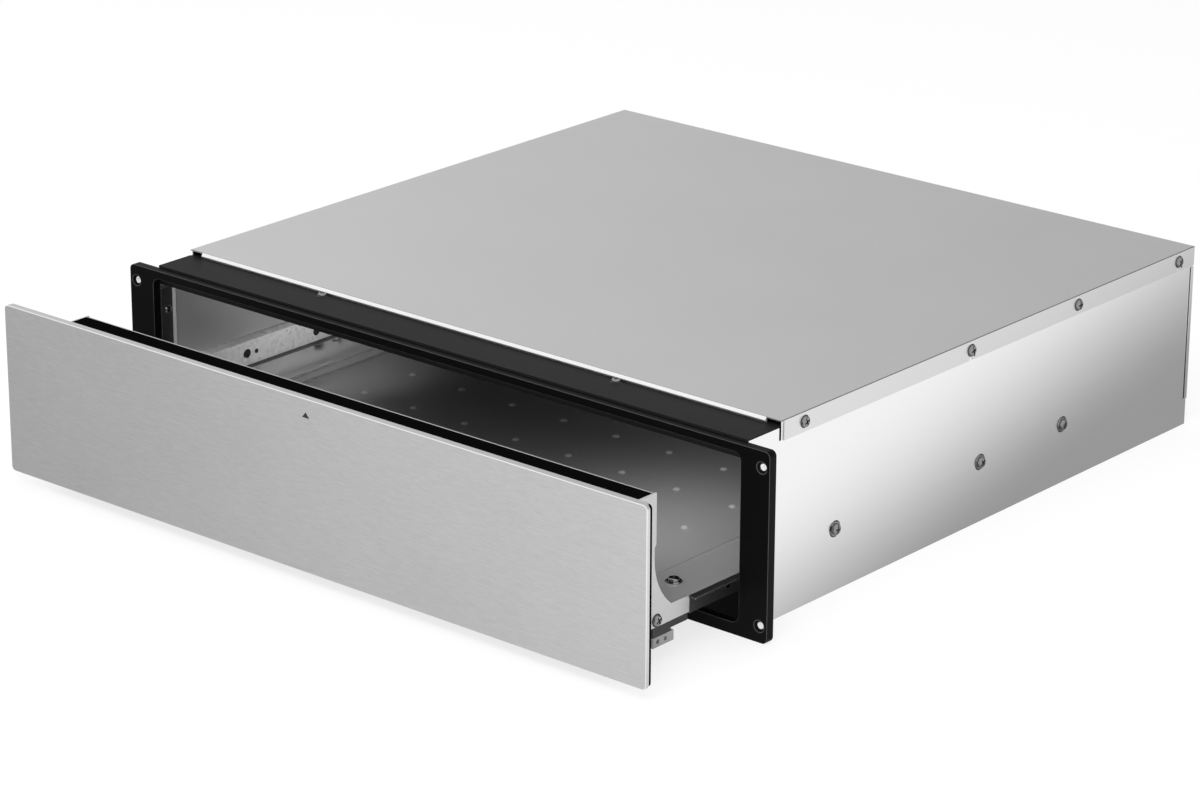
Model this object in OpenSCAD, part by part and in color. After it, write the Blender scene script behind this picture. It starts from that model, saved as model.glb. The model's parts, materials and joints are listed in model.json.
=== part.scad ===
// Built in warming drawer of the 60 cm class, with its push to open drawer partly out.
// The front looks towards -Y, up is +Z, and the origin is the middle of the case's underside.

/* [Case] */
// Width over the two side walls
case_w = 550; // [520:1:560]
// Depth from the face of the front frame to the rear panel
case_d = 534; // [520:1:560]
// Height from the underside to the top of the cover
case_h = 140; // [139:0.5:150]
// Thickness of the case sheets
sheet_t = 0.8; // [0.7:0.1:1]
// Distance from the inner rear wall to the case's rear end
rear_room = 158; // [150:1:160]
// How far the warming space's ceiling lies below the cover's top
ceiling_drop = 18; // [17.5:0.5:19]
// Height at which the inner side panels begin
liner_low = 60; // [60:0.5:66]
// Distance from the frame's face to the front fold of the inner side panels
liner_y = 18; // [17:0.5:19]
// Width of that front fold
liner_fold = 4; // [3:0.25:4.2]

/* [Top cover and hood] */
// Distance from the frame's face to the front edge of the cover
cover_y = 40; // [38:0.5:46]
// Height of the folded edge along the cover's front
hem_h = 4; // [3:0.25:5]
// Length that this fold leaves free at each corner
hem_end = 12; // [6:1:20]
// Height of the cover's side flanges
flange_h = 14.5; // [12:0.5:18]
// Distance from the cover's front edge to the front of its side flanges
flange_back = 3.3; // [2.5:0.1:6]
// Width of the slot in the side wall where the cover begins
slot_w = 2; // [1.5:0.25:2.5]
// Depth of that slot below the cover's top
slot_drop = 13.9; // [10:0.1:16]
// How far the hood lies below the cover's top
hood_drop = 4; // [4:0.25:4.5]
// Distance that the hood reaches in under the cover
hood_in = 12; // [8:1:20]
// Share of the case's width between the two hood screws
hood_screw_share = 0.5; // [0.3:0.05:0.8]
// Thickness of the insulation over the ceiling
blanket_h = 15; // [8:0.5:15.5]
// Clear strip round the insulation
blanket_edge = 14; // [10:1:30]

/* [Front frame] */
// How far the frame reaches past each side wall
frame_side = 23.1; // [20:0.1:25]
// How far the frame stays below the cover's top
frame_drop = 5.6; // [5:0.1:6]
// Thickness of the frame
frame_t = 7; // [6:0.5:8]
// Radius of the frame's outer corners
frame_r = 4; // [2:0.5:6]
// Height of the frame's lower bar
bar_low = 8.6; // [8:0.2:10]
// Height of the frame's upper bar
bar_high = 5.9; // [5:0.1:7]
// Radius of the opening's corners
opening_r = 6; // [3:0.5:10]
// Distance from the frame's sides to the fixing holes
fix_in_x = 6.6; // [6:0.1:9]
// Distance from the frame's lower and upper edge to the fixing holes
fix_in_z = 11.7; // [10:0.1:20]
// Diameter of the fixing holes
fix_hole_d = 4.8; // [4:0.1:5.5]
// Diameter of their countersinks
fix_sink_d = 8.6; // [7:0.1:9.5]
// Depth of their countersinks
fix_sink_t = 1.8; // [1:0.1:3]
// How far the side cheeks behind the frame stay below the ceiling
cheek_drop = 3.6; // [2:0.1:12]
// Height at which the cheeks begin
cheek_low = 14; // [12:1:30]
// Distance from the cheeks' top down to their screws
cheek_screw_drop = 17; // [10:0.5:60]

/* [Front panel] */
// How far the front panel stays within the frame at each side
front_in = 0.6; // [0:0.1:5]
// How far the front panel stays below the frame's upper edge
front_top_in = 0.4; // [0:0.1:5]
// Height of its lower edge
front_low = 8.3; // [6:0.1:10]
// Depth of its folded edges
front_return = 6; // [4:0.5:8]
// Radius of its corners
front_r = 3.5; // [2:0.5:6]
// Thickness of its sheet
skin_t = 1; // [0.8:0.1:1.4]
// Gap between the pushed-in front panel and the frame
closed_gap = 0.65; // [0.4:0.05:2]
// How far the drawer stands open from its pushed-in place
drawer_out = 116; // [100:1:120]

/* [Door] */
// Room between the drawer's side and the case's wall
side_room = 9.7; // [9.5:0.1:11.2]
// Gap between the door's top and the ceiling
door_gap = 1.7; // [1:0.1:5]
// Height of the door's underside
door_low = 27; // [26.5:0.1:29]
// Depth from the front face to the back of the door box
door_d = 46.65; // [42:0.05:50]
// Thickness of the door box's sheet
door_t = 1.2; // [0.8:0.1:2]
// Thickness of the door's inner panel
inner_t = 1; // [0.8:0.1:1.2]
// How far the wings' upper part stands behind the inner panel
wing_rear = 1.7; // [1:0.1:4]
// Height at which the wings' upper part ends
wing_step_z = 85; // [80:0.5:100]
// Height at which the wings' curve begins
wing_curve_z = 75; // [72:0.5:78]
// Radius of the wings' curve
wing_curve_r = 46; // [44:0.5:60]
// Top of the wings' feet
foot_top = 39; // [38.5:0.1:40]
// Thickness of the wings and runners
wing_t = 1.2; // [1:0.1:1.5]
// Distance from the inner panel to the end of the wings' feet
foot_l = 17.3; // [16:0.1:22]
// Length of the corner brackets behind the feet
corner_l = 18.5; // [15:0.5:24]

/* [Drawer floor and runners] */
// Height of the floor's rim
floor_z = 38; // [37.5:0.1:38.4]
// Thickness of the floor's sheet
floor_t = 1; // [0.8:0.1:1.2]
// Gap between the pushed-in floor's rear end and the inner rear wall
floor_gap = 14; // [12:0.5:30]
// Depth of the recess in the floor
recess_h = 7; // [5:0.25:8]
// Rim between the recess and the floor's sides
recess_side = 39.3; // [38:0.1:50]
// Rim between the recess and the inner panel
recess_front = 19; // [16:0.5:30]
// Rim between the recess and the floor's rear end
recess_rear = 8; // [6:0.5:20]
// Height of the fold along the floor's rear end
floor_fold = 8; // [4:0.5:14]
// Columns of dimples
dimple_nx = 8; // [4:1:9]
// Rows of dimples
dimple_ny = 6; // [3:1:6]
// Distance from the recess's sides to the outer columns
dimple_side = 49; // [10:1:60]
// Distance from the recess's ends to the outer rows
dimple_end = 16.5; // [10:0.5:40]
// Diameter of a dimple
dimple_d = 6; // [4:0.5:10]
// Height of a dimple
dimple_h = 1.2; // [0.8:0.1:2]
// Height of the runners' lower edge
runner_low = 26; // [25.5:0.1:26.8]
// Length of the runners behind the floor's rear end
runner_rear = 4; // [2:0.5:8]
// Width of the runners' flange under the floor
runner_seat = 30; // [20:1:32]
// Reach of the runners' outward lip
runner_lip = 5; // [3:0.25:5.2]

/* [Fixed rails and rollers] */
// Height of the rails' lower edge
rail_low = 31.7; // [31.4:0.1:32.2]
// Height of the rails' upper edge
rail_high = 59.1; // [58.4:0.1:59.6]
// Thickness of the rails
rail_t = 1.6; // [1.4:0.1:1.8]
// Distance from the frame's face to the rails' front end
rail_y = 20; // [20:0.5:30]
// Distance from the frame's face to the front rollers
roller_y = 88; // [84:0.5:92]
// Radius of the front rollers
roller_r = 10; // [8:0.5:10.5]
// Radius of the roller axles
axle_r = 2.5; // [2:0.1:3]
// Diameter of the holes in the rails
rail_hole_d = 7; // [5:0.5:8]
// Height of the bar below a front axle
axle_bar = 10; // [8:0.5:12]
// Distance from a rear axle to the runner's end
rear_axle_in = 9.5; // [8:0.5:12]

/* [Front brackets] */
// Underside of the dark front brackets
bracket_low = 19.7; // [19:0.1:21]
// Underside of their rear step
step_low = 22.2; // [21.5:0.1:24]
// Width of the front brackets
bracket_w = 18.5; // [14:0.5:24]
// Length of the front brackets' deep part
bracket_l = 18; // [12:0.5:19]
// Length of their rear step
step_l = 17; // [10:0.5:17]
// Height of the clips below the front brackets
clip_h = 7.1; // [5:0.1:8]
// Length of the clips
clip_l = 21; // [16:0.5:26]
// Diameter of the two holes in a clip
clip_hole_d = 3.2; // [2:0.1:3.6]
// Distance between the two holes
clip_hole_pitch = 7.8; // [6:0.1:9]

/* [Screws] */
// Radius of a screw head
head_r = 4; // [3:0.1:4.5]
// Height of a screw head
head_h = 2.2; // [1.4:0.1:2.6]
// Radius of a washer
washer_r = 5.4; // [4.8:0.1:6]
// Thickness of a washer
washer_t = 0.8; // [0.5:0.1:1]
// Radius of a screw's shank
shank_r = 1.8; // [1.4:0.1:2]
// Radial room of a shank in its hole
fit = 0.05; // [0.03:0.01:0.1]
// Height of the flange screws below the cover's top
flange_screw_drop = 7.2; // [6.5:0.1:8]
// Length of the flange screws
flange_screw_l = 8; // [4:0.5:10]
// Length of the floor screws
floor_screw_l = 6; // [4:0.5:7]
// Distance from the floor's edge to the floor screws
floor_screw_in = 22.8; // [20:0.2:24]
// Distance from the inner panel to the front floor screws
floor_screw_y = 49; // [30:1:80]
// Distance from the floor's rear end to the rear floor screws
floor_screw_back = 31; // [27:1:60]
// Distance from the inner panel to the wing screws
wing_screw_y = 2.6; // [2.4:0.1:8]
// Height of the wing screws above the wings' lower edge
wing_screw_up = 4.6; // [4.4:0.1:6]
// Length of the wing screws inside the front brackets
wing_screw_l = 8; // [4:0.5:12]
// Distance from the runner's front to its rivet
rivet_y = 40; // [20:1:60]
// Height of the rivet above the runner's lower edge
rivet_up = 7; // [4:0.2:7]

/* [Latch] */
// Width of the latch body
latch_w = 26; // [18:1:40]
// Length of the latch body
latch_l = 46; // [40:1:60]
// Height of the latch body
latch_h = 21; // [18:0.5:22]
// Radius of the plunger
plunger_r = 4; // [3:0.25:5]
// How far the plunger stands out of the latch body
plunger_out = 9; // [8:0.5:14]
// Travel of the plunger
plunger_travel = 6; // [4:0.5:7]
// Length of the plunger inside the latch body
plunger_in = 26; // [18:1:30]
// Distance from the recess's rear end to the striker
striker_in = 79; // [72:1:100]
// Width of the striker
striker_w = 30; // [20:1:50]
// Length of the striker's foot
striker_l = 20; // [12:1:30]
// Thickness of the striker
striker_t = 1.5; // [1:0.1:2]
// Height of the striker's lower end
striker_low = 12; // [10:0.5:13]

/* [Heating] */
// Width of the air duct
duct_w = 300; // [260:5:400]
// Depth of the air duct
duct_d = 36; // [32:1:44]
// Height of the duct's lower edge
duct_low = 10; // [9.5:0.5:14]
// Room between the ring heater's middle line and the duct above and below it
ring_room = 8.6; // [8:0.1:9.5]
// Radius of the heater's tube
tube_r = 3.2; // [2.5:0.1:4]
// Distance between the heater's ends
ring_leg = 24; // [16:1:40]
// Room between the fan wheel and the ring heater's middle line
fan_room = 9; // [7:0.5:16]
// Width of the fan wheel
fan_w = 18; // [12:1:20]
// Blades of the fan wheel
fan_blades = 12; // [8:1:16]
// Angle at which the blades lean
blade_lean = 12; // [0:1:20]
// Inlet slots in front of the fan
inlet_slots = 12; // [6:1:16]
// Radius of the fan's shaft
shaft_r = 2.5; // [2:0.1:3]
// Radius of the fan motor
motor_r = 23; // [18:0.5:28]
// Length of the fan motor
motor_l = 34; // [24:1:44]
// Thickness of the motor's mounting plate
mount_t = 1.2; // [1:0.1:2]
// Radius of the thermal cut-out
cutout_r = 8; // [6:0.5:10]
// Height of the thermal cut-out
cutout_h = 9; // [6:0.5:12]

/* [Rear] */
// Height at which the rear panel's side flanges begin
rear_flange_low = 20.8; // [16:0.2:40]
// How far they end below the cover's top
rear_flange_drop = 16.1; // [15.6:0.1:40]
// Depth of these flanges
rear_flange = 3; // [2:0.25:5]
// Radius of the cable inlet
inlet_r = 8; // [6:0.5:10]
// Distance from the side wall to the cable inlet
inlet_side = 69.2; // [40:0.1:120]
// Height of the cable inlet
inlet_z = 42; // [30:1:60]
// Vent slots in each group
vent_n = 9; // [4:1:12]
// Distance between the vent slots
vent_pitch = 9; // [7:0.5:12]
// Width of a vent slot
vent_w = 3.5; // [2.5:0.25:4.5]
// Length of a vent slot
vent_l = 46; // [30:1:60]

/* [Controls] */
// Distance from the drawer's side to the thermostat
knob_side = 73.3; // [45:0.1:90]
// Radius of the thermostat's knob
knob_r = 17; // [12:0.5:20]
// Height of the knob
knob_h = 14; // [10:0.5:15]
// Radius of the thermostat's spindle
spindle_r = 3; // [2.5:0.1:4]
// Distance between the thermostat and the rocker switch
rocker_in = 70; // [50:1:110]
// Radius of the rocker
rocker_r = 5.8; // [5:0.1:6.4]
// Width of the rocker
rocker_w = 13.8; // [10:0.2:16]
// Tilt of the rocker at each end of its travel
rocker_tilt = 8; // [4:0.5:10]
// Radius of the pilot lamp
lamp_r = 3; // [2:0.25:4]

/* [Hidden] */
$fn = 48;
arc_steps = 8;
over = 1;
run_gap = 0.3;
x_wall = case_w / 2 - sheet_t;
cavity_d = case_d - rear_room;
hood_screw_span = case_w * hood_screw_share;
frame_w = case_w + 2 * frame_side;
frame_h = case_h - frame_drop;
fix_span_x = frame_w - 2 * fix_in_x;
fix_span_z = frame_h - 2 * fix_in_z;
ceiling_z = case_h - ceiling_drop;
cheek_top = ceiling_z - cheek_drop;
cheek_screw_z = cheek_top - cheek_screw_drop;
rear_flange_high = case_h - rear_flange_drop;
front_w = frame_w - 2 * front_in;
front_h = frame_h - front_top_in - front_low;
drawer_w = 2 * (x_wall - side_room);
door_top = ceiling_z - door_gap;
face_y = -case_d / 2;
front_y = -(front_return + closed_gap + drawer_out);
back_y = case_d - sheet_t;
wall_top = case_h - sheet_t;
hood_top = case_h - hood_drop;
hood_low = hood_top - sheet_t;
slot_y = cover_y - slot_w / 2;
hood_screw_y = cover_y - head_r;
// Screws of the rear panel, as a share of the case's half width
rear_screw_share = 0.9;
rear_screw_x = x_wall * rear_screw_share;
rear_screw_low = bar_low / 2;
rear_screw_high = case_h - flange_screw_drop;
flange_y = cover_y + flange_back;
flange_low = case_h - flange_h;
flange_screw_z = case_h - flange_screw_drop;
cover_x = case_w / 2 + sheet_t;
liner_x = x_wall - sheet_t;
opening_top = frame_h - bar_high;
// Screws along the cover's flanges, as shares of the case's depth, and which of them sit in open notches
flange_screw_shares = [0.122, 0.473, 0.717, 0.961];
open_notches = [1, 3];
// Screws and holes along the rails, as shares of the cavity's depth
rail_screw_shares = [0.271, 0.715, 0.983];
rail_hole_shares = [0.244, 0.458, 0.513, 0.551];
rail_x = x_wall - rail_t;
lip_x = drawer_w / 2 + run_gap;
rail_mid = (rail_low + rail_high) / 2;
rail_ear = roller_r + 4 * rail_t;
rear_roller_r = (rail_high - rail_low) / 2 - rail_t - run_gap;
// Drawer places, measured from its front face
inner_back = door_d + inner_t;
side_x = drawer_w / 2 - wing_t;
floor_l = cavity_d - floor_gap + front_return + closed_gap - inner_back;
striker_y = floor_l - recess_rear - striker_in;
foot_end = inner_back + foot_l;
corner_end = foot_end + corner_l;
floor_end = inner_back + floor_l;
runner_end = floor_end + runner_rear;
rear_axle_y = runner_end - rear_axle_in;
wing_curve_y = inner_back + wing_curve_r;
wing_curve_end = acos((wing_curve_z - foot_top) / wing_curve_r);
wing_notch_share = 1.5;
wing_screw_mid = inner_back + wing_screw_y;
wing_screw_z = door_low + wing_screw_up;
bracket_x = drawer_w / 2 - bracket_w;
clip_low = bracket_low - clip_h;
floor_screw_x = side_x - floor_screw_in;
recess_y = inner_back + recess_front;
recess_end = floor_end - recess_rear;
recess_w = 2 * (side_x - recess_side);
dimple_pitch_x = (recess_w - 2 * dimple_side) / (dimple_nx - 1);
dimple_pitch_y = (recess_end - recess_y - 2 * dimple_end) / (dimple_ny - 1);
rim_low = floor_z - floor_t;
pan_top = floor_z - recess_h;
lip_low = floor_z - wing_t;
front_roller_z = lip_low - run_gap - roller_r;
roller_in = lip_x + run_gap;
roller_out = rail_x - run_gap;
rear_roller_out = rail_x - 4 * run_gap;
axle_head_share = 1.5;
axle_head_r = axle_r * axle_head_share;
axle_head_t = run_gap;
axle_start = roller_in - axle_head_t;
// Latch places, measured from the frame's face
striker_back = front_y + drawer_out + inner_back + striker_y;
plunger_tip = striker_back + run_gap;
latch_y = plunger_tip + plunger_out;
plunger_z = (striker_low + pan_top - floor_t) / 2 - wing_t;
plunger_nose = plunger_r / 4;
plunger_nose_share = 0.75;
// Heating places, measured from the frame's face
duct_y = cavity_d + sheet_t;
duct_back = duct_y + duct_d;
duct_top = ceiling_z - sheet_t;
heat_z = (duct_low + duct_top) / 2;
ring_r = (duct_top - duct_low) / 2 - ring_room;
fan_r = ring_r - fan_room;
ring_y = duct_y + duct_d / 2;
fan_hub_share = 2.6;
fan_hub_r = shaft_r * fan_hub_share;
fan_y = ring_y - fan_w / 2;
blade_t = sheet_t;
mount_y = duct_back + mount_t;
// Shares of the fan motor's radius and length
mount_share = 1.25;
shaft_share = 0.8;
end_cap_share = 0.4;
end_cap_l_share = 0.1;
mount_r = motor_r * mount_share;
shaft_end = mount_y + motor_l * shaft_share;
// Shares of the fan's radius between which its inlet slots run
inlet_from = 0.3;
inlet_to = 0.85;
leg_flange_share = 1.6;
leg_flange_r = tube_r * leg_flange_share;
// Shares of the cable inlet's radius that its flange, its bore and the terminal block take
inlet_flange_share = 1.5;
inlet_bore_share = 0.55;
block_w_share = 4;
block_d_share = 2.4;
block_h_share = 2.2;
inlet_x = x_wall - inlet_side;
inlet_flange_r = inlet_r * inlet_flange_share;
block_w = inlet_r * block_w_share;
block_d = inlet_r * block_d_share;
block_h = inlet_r * block_h_share;
block_hole_share = 1.5;
block_hole_pitch = block_w / 3.4;
inlet_flange_t = 2 * sheet_t;
knob_z = (door_low + door_top) / 2;
knob_x = side_x - knob_side;
rocker_x = knob_x - rocker_in;
knob_y = inner_back + run_gap;
// Shares of the knob's size that its top, its bore and its pointer take
knob_top_share = 0.88;
knob_bore_share = 0.75;
pointer_from = 0.33;
pointer_to = 0.86;
thermostat_share = 1.5;
// Shares of the rocker's radius that its middle and its ends take
rocker_middle_share = 0.5;
rocker_end_share = 0.72;
rocker_sunk_share = 1 / 12;
rocker_y = inner_back - rocker_r * rocker_sunk_share;
housing_w = rocker_w + 6 * run_gap + 3 * skin_t;
housing_h = 2 * rocker_r + 4 * skin_t;
lamp_x = (knob_x + rocker_x) / 2;
lamp_rim_share = 1.4;
// Size of the cheek and hood screws' heads against the others
small_head_share = 0.8;
// Shares of a screw head that its cylinder, its flat top and its cross take
head_side_share = 0.45;
head_top_share = 0.62;
cross_long_share = 1.1;
cross_wide_share = 0.28;
cross_deep_share = 0.6;
dimple_top_share = 0.5;

// Pieces of the case are measured from the frame's face
module in_case() translate([0, face_y, 0]) children();
// Pieces of the drawer are measured from its front face
module in_drawer() translate([0, face_y + front_y, 0]) children();
module left() mirror([1, 0, 0]) children();
module both_sides() {
    children();
    left() children();
}

// Box from its low corner to its high corner
module block(low, high) translate(low) cube(high - low);
// Plate with its outline in x and z, from y to y + t
module plate_y(y, t) translate([0, y + t, 0]) rotate([90, 0, 0]) linear_extrude(t) children();
// Plate with its outline in y and z, from x to x + t
module plate_x(x, t) translate([x, 0, 0]) rotate([90, 0, 90]) linear_extrude(t) children();
module rod_x(x, length, r, y, z) translate([x, y, z]) rotate([0, 90, 0]) cylinder(h = length, r = r);
module rod_y(y, length, r, x, z) translate([x, y, z]) rotate([-90, 0, 0]) cylinder(h = length, r = r);
module rod_z(z, length, r, x, y) translate([x, y, z]) cylinder(h = length, r = r);

function arc(centre, r, from, to) =
    [for (i = [0:arc_steps]) centre + r * [cos(from + (to - from) * i / arc_steps),
                                           sin(from + (to - from) * i / arc_steps)]];
// Outline of a rectangle with round corners, from z low to z high and centred in x
function round_box(w, low, high, r) = concat(
    arc([w / 2 - r, high - r], r, 0, 90),
    arc([r - w / 2, high - r], r, 90, 180),
    arc([r - w / 2, low + r], r, 180, 270),
    arc([w / 2 - r, low + r], r, 270, 360));

// Pan head screw with a cross recess, seated at z = 0 with its head up
module screw(length, r = head_r, washer = 0) {
    difference() {
        union() {
            cylinder(h = washer + head_h * head_side_share, r = r);
            translate([0, 0, washer + head_h * head_side_share])
                cylinder(h = head_h * (1 - head_side_share), r1 = r, r2 = r * head_top_share);
            if (washer > 0) cylinder(h = washer, r = washer_r);
        }
        translate([0, 0, washer + head_h]) for (a = [0, 90]) rotate([0, 0, a])
            cube([r * cross_long_share, r * cross_wide_share, 2 * head_h * cross_deep_share], center = true);
    }
    translate([0, 0, -length]) cylinder(h = length, r = shank_r);
}
module screw_out_x(x, length, y, z, r = head_r, washer = 0)
    translate([x, y, z]) rotate([0, 90, 0]) screw(length, r, washer);
module bore_x(x, length, y, z) rod_x(x, length, shank_r + fit, y, z);

// Row of upright vent slots with its middle at x, cut from y to y + t
module vent_slots(x, z, y, t) {
    for (i = [0:vent_n - 1]) {
        vx = x + (i - (vent_n - 1) / 2) * vent_pitch;
        block([vx - vent_w / 2, y, z - vent_l / 2], [vx + vent_w / 2, y + t, z + vent_l / 2]);
    }
}

function flange_screw_y(i) = case_d * flange_screw_shares[i];
function rail_screw_y(i) = cavity_d * rail_screw_shares[i];

module at_rear_screws() {
    for (x = [-rear_screw_x, 0, rear_screw_x]) for (z = [rear_screw_low, rear_screw_high])
        translate([x, case_d, z]) rotate([-90, 0, 0]) children();
}

module base_pan() color("lightgray") in_case() difference() {
    block([-x_wall, frame_t, 0], [x_wall, back_y, bar_low]);
    block([sheet_t - x_wall, frame_t + sheet_t, sheet_t], [x_wall - sheet_t, back_y - sheet_t, bar_low + over]);
    for (side = [-1, 1]) for (i = [0:vent_n - 1]) {
        vx = side * duct_w / 2 + (i - (vent_n - 1) / 2) * vent_pitch;
        block([vx - vent_w / 2, mount_y + motor_l, -over],
            [vx + vent_w / 2, mount_y + motor_l + vent_l, sheet_t + over]);
    }
    at_rear_screws() translate([0, 0, -flange_h]) cylinder(h = flange_h, r = shank_r + fit);
}

module side_wall() difference() {
    plate_x(x_wall, sheet_t) polygon([
        [frame_t, 0], [back_y, 0], [back_y, wall_top], [slot_y + slot_w, wall_top],
        [slot_y + slot_w, case_h - slot_drop], [slot_y, case_h - slot_drop],
        [slot_y, hood_low], [frame_t, hood_low]]);
    for (i = [0:len(flange_screw_shares) - 1])
        bore_x(x_wall - over, sheet_t + 2 * over, flange_screw_y(i), flange_screw_z);
    for (i = [0:len(rail_screw_shares) - 1])
        bore_x(x_wall - over, sheet_t + 2 * over, rail_screw_y(i), rail_mid);
    bore_x(x_wall - over, sheet_t / 2 + over, (frame_t + liner_y) / 2, cheek_screw_z);
    block([x_wall - over, back_y - rear_flange, rear_flange_low],
        [x_wall + sheet_t + over, back_y - rear_flange + sheet_t, rear_flange_high]);
}
module side_wall_right() color("whitesmoke") in_case() side_wall();
module side_wall_left() color("whitesmoke") in_case() left() side_wall();

module rear_panel() color("lightgray") in_case() difference() {
    union() {
        block([-case_w / 2, back_y, 0], [case_w / 2, case_d, wall_top]);
        both_sides() block([case_w / 2, case_d - rear_flange, rear_flange_low], [cover_x, case_d, rear_flange_high]);
        both_sides() block([case_w / 2 - over, back_y, rear_flange_low],
            [case_w / 2 + sheet_t / 2, case_d, rear_flange_high]);
    }
    for (x = [-duct_w / 3, duct_w / 3]) vent_slots(x, heat_z, back_y - over, sheet_t + 2 * over);
    rod_y(back_y - over, sheet_t + 2 * over, inlet_r, -inlet_x, inlet_z);
    at_rear_screws() translate([0, 0, -flange_h]) cylinder(h = flange_h, r = shank_r + fit);
}

// Open notch from a flange's lower edge up to a screw
module notch(y) {
    block([case_w / 2 - over, y - shank_r - fit, flange_low - over],
        [cover_x + over, y + shank_r + fit, flange_screw_z]);
}
module top_cover() color("silver") in_case() difference() {
    union() {
        block([-cover_x, cover_y, wall_top], [cover_x, case_d, case_h]);
        block([hem_end - cover_x, cover_y, case_h - hem_h], [cover_x - hem_end, cover_y + sheet_t, case_h]);
        both_sides() block([case_w / 2, flange_y, flange_low], [cover_x, case_d, case_h]);
        block([hem_end - x_wall, back_y - sheet_t, case_h - flange_h], [x_wall - hem_end, back_y, case_h]);
    }
    both_sides() for (i = [0:len(flange_screw_shares) - 1])
        bore_x(case_w / 2 - over, sheet_t + 2 * over, flange_screw_y(i), flange_screw_z);
    both_sides() for (i = open_notches) notch(flange_screw_y(i));
    at_rear_screws() translate([0, 0, -flange_h]) cylinder(h = flange_h, r = shank_r + fit);
    both_sides() block([case_w / 2 - over, case_d - rear_flange - fit, flange_low - over],
        [cover_x + over, case_d + over, rear_flange_high + fit]);
}

module at_fixing_holes() {
    for (x = [-fix_span_x / 2, fix_span_x / 2]) for (z = [fix_in_z, fix_in_z + fix_span_z])
        translate([x, 0, z]) rotate([-90, 0, 0]) children();
}
module front_frame() color("black") in_case() difference() {
    plate_y(0, frame_t) polygon(round_box(frame_w, 0, frame_h, frame_r));
    plate_y(-over, frame_t + 2 * over) polygon(round_box(2 * x_wall, bar_low, opening_top, opening_r));
    at_fixing_holes() {
        translate([0, 0, -over]) cylinder(h = frame_t + 2 * over, d = fix_hole_d);
        cylinder(h = fix_sink_t, d1 = fix_sink_d, d2 = fix_hole_d);
    }
}

module hood() color([0.2, 0.2, 0.2]) in_case() difference() {
    union() {
        block([-case_w / 2, frame_t, hood_low], [case_w / 2, slot_y, hood_top]);
        block([-x_wall, frame_t, hood_low], [x_wall, cover_y + hood_in, hood_top]);
        block([-x_wall, frame_t, ceiling_z], [x_wall, frame_t + sheet_t, hood_top]);
        block([hem_end - x_wall, cover_y + hood_in - sheet_t, hood_low],
            [x_wall - hem_end, cover_y + hood_in, wall_top]);
    }
    for (x = [-hood_screw_span / 2, hood_screw_span / 2])
        rod_z(hood_low - over, sheet_t + 2 * over, shank_r + fit, x, hood_screw_y);
}

module cheek() difference() {
    block([liner_x, frame_t, cheek_low], [x_wall, liner_y, cheek_top]);
    bore_x(liner_x - over, sheet_t + 2 * over, (frame_t + liner_y) / 2, cheek_screw_z);
}
module cheek_right() color([0.1, 0.1, 0.1]) in_case() cheek();
module cheek_left() color([0.1, 0.1, 0.1]) in_case() left() cheek();

module liner() {
    block([liner_x, liner_y, liner_low], [x_wall, cavity_d, ceiling_z]);
    block([x_wall - liner_fold, liner_y, cheek_low], [x_wall, liner_y + sheet_t, ceiling_z]);
}
module liner_right() color("gray") in_case() liner();
module liner_left() color("gray") in_case() left() liner();

module liner_top() color([0.25, 0.25, 0.25]) in_case()
    block([-x_wall, frame_t + sheet_t, ceiling_z], [x_wall, duct_y, ceiling_z + sheet_t]);

module liner_back() color("gray") in_case() difference() {
    block([-liner_x, cavity_d, sheet_t], [liner_x, duct_y, ceiling_z]);
    for (i = [0:inlet_slots - 1]) translate([0, 0, heat_z]) rotate([0, i * 360 / inlet_slots, 0])
        block([-vent_w / 2, cavity_d - over, fan_r * inlet_from], [vent_w / 2, duct_y + over, fan_r * inlet_to]);
    for (x = [-duct_w / 3, duct_w / 3]) vent_slots(x, heat_z, cavity_d - over, sheet_t + 2 * over);
}

module insulation() color("khaki") in_case()
    block([blanket_edge - x_wall, cover_y + hood_in + run_gap, ceiling_z + sheet_t + run_gap],
        [x_wall - blanket_edge, cavity_d, ceiling_z + sheet_t + run_gap + blanket_h]);

module rail() difference() {
    union() {
        block([rail_x, rail_y, rail_low], [x_wall, cavity_d, rail_high]);
        block([rail_x, roller_y - rail_ear, front_roller_z - axle_bar], [x_wall, roller_y + rail_ear, rail_high]);
        block([lip_x, rail_y, rail_high - rail_t], [x_wall, cavity_d, rail_high]);
        block([lip_x, roller_y + rail_ear, rail_low], [x_wall, cavity_d, rail_low + rail_t]);
    }
    for (i = [0:len(rail_screw_shares) - 1])
        bore_x(rail_x - over, rail_t + 2 * over, rail_screw_y(i), rail_mid);
    for (share = rail_hole_shares)
        rod_x(rail_x - over, rail_t + 2 * over, rail_hole_d / 2, cavity_d * share, rail_mid);
    rod_x(rail_x - over, rail_t + 2 * over, axle_r + fit, roller_y, front_roller_z);
}
module rail_right() color("gainsboro") in_case() rail();
module rail_left() color("gainsboro") in_case() left() rail();

module front_axles() color("silver") in_case() both_sides() {
    rod_x(axle_start, x_wall - axle_start, axle_r, roller_y, front_roller_z);
    rod_x(axle_start, axle_head_t, axle_head_r, roller_y, front_roller_z);
}

module air_duct() color("silver") in_case() difference() {
    block([-duct_w / 2, duct_y, duct_low], [duct_w / 2, duct_back, duct_top]);
    block([sheet_t - duct_w / 2, duct_y - over, duct_low + sheet_t],
        [duct_w / 2 - sheet_t, duct_back - sheet_t, duct_top - sheet_t]);
    rod_y(duct_back - 2 * sheet_t, 4 * sheet_t, fan_hub_r, 0, heat_z);
    for (x = [-ring_leg / 2, ring_leg / 2])
        rod_y(duct_back - 2 * sheet_t, 4 * sheet_t, tube_r + fit, x, heat_z - ring_r);
}

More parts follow.
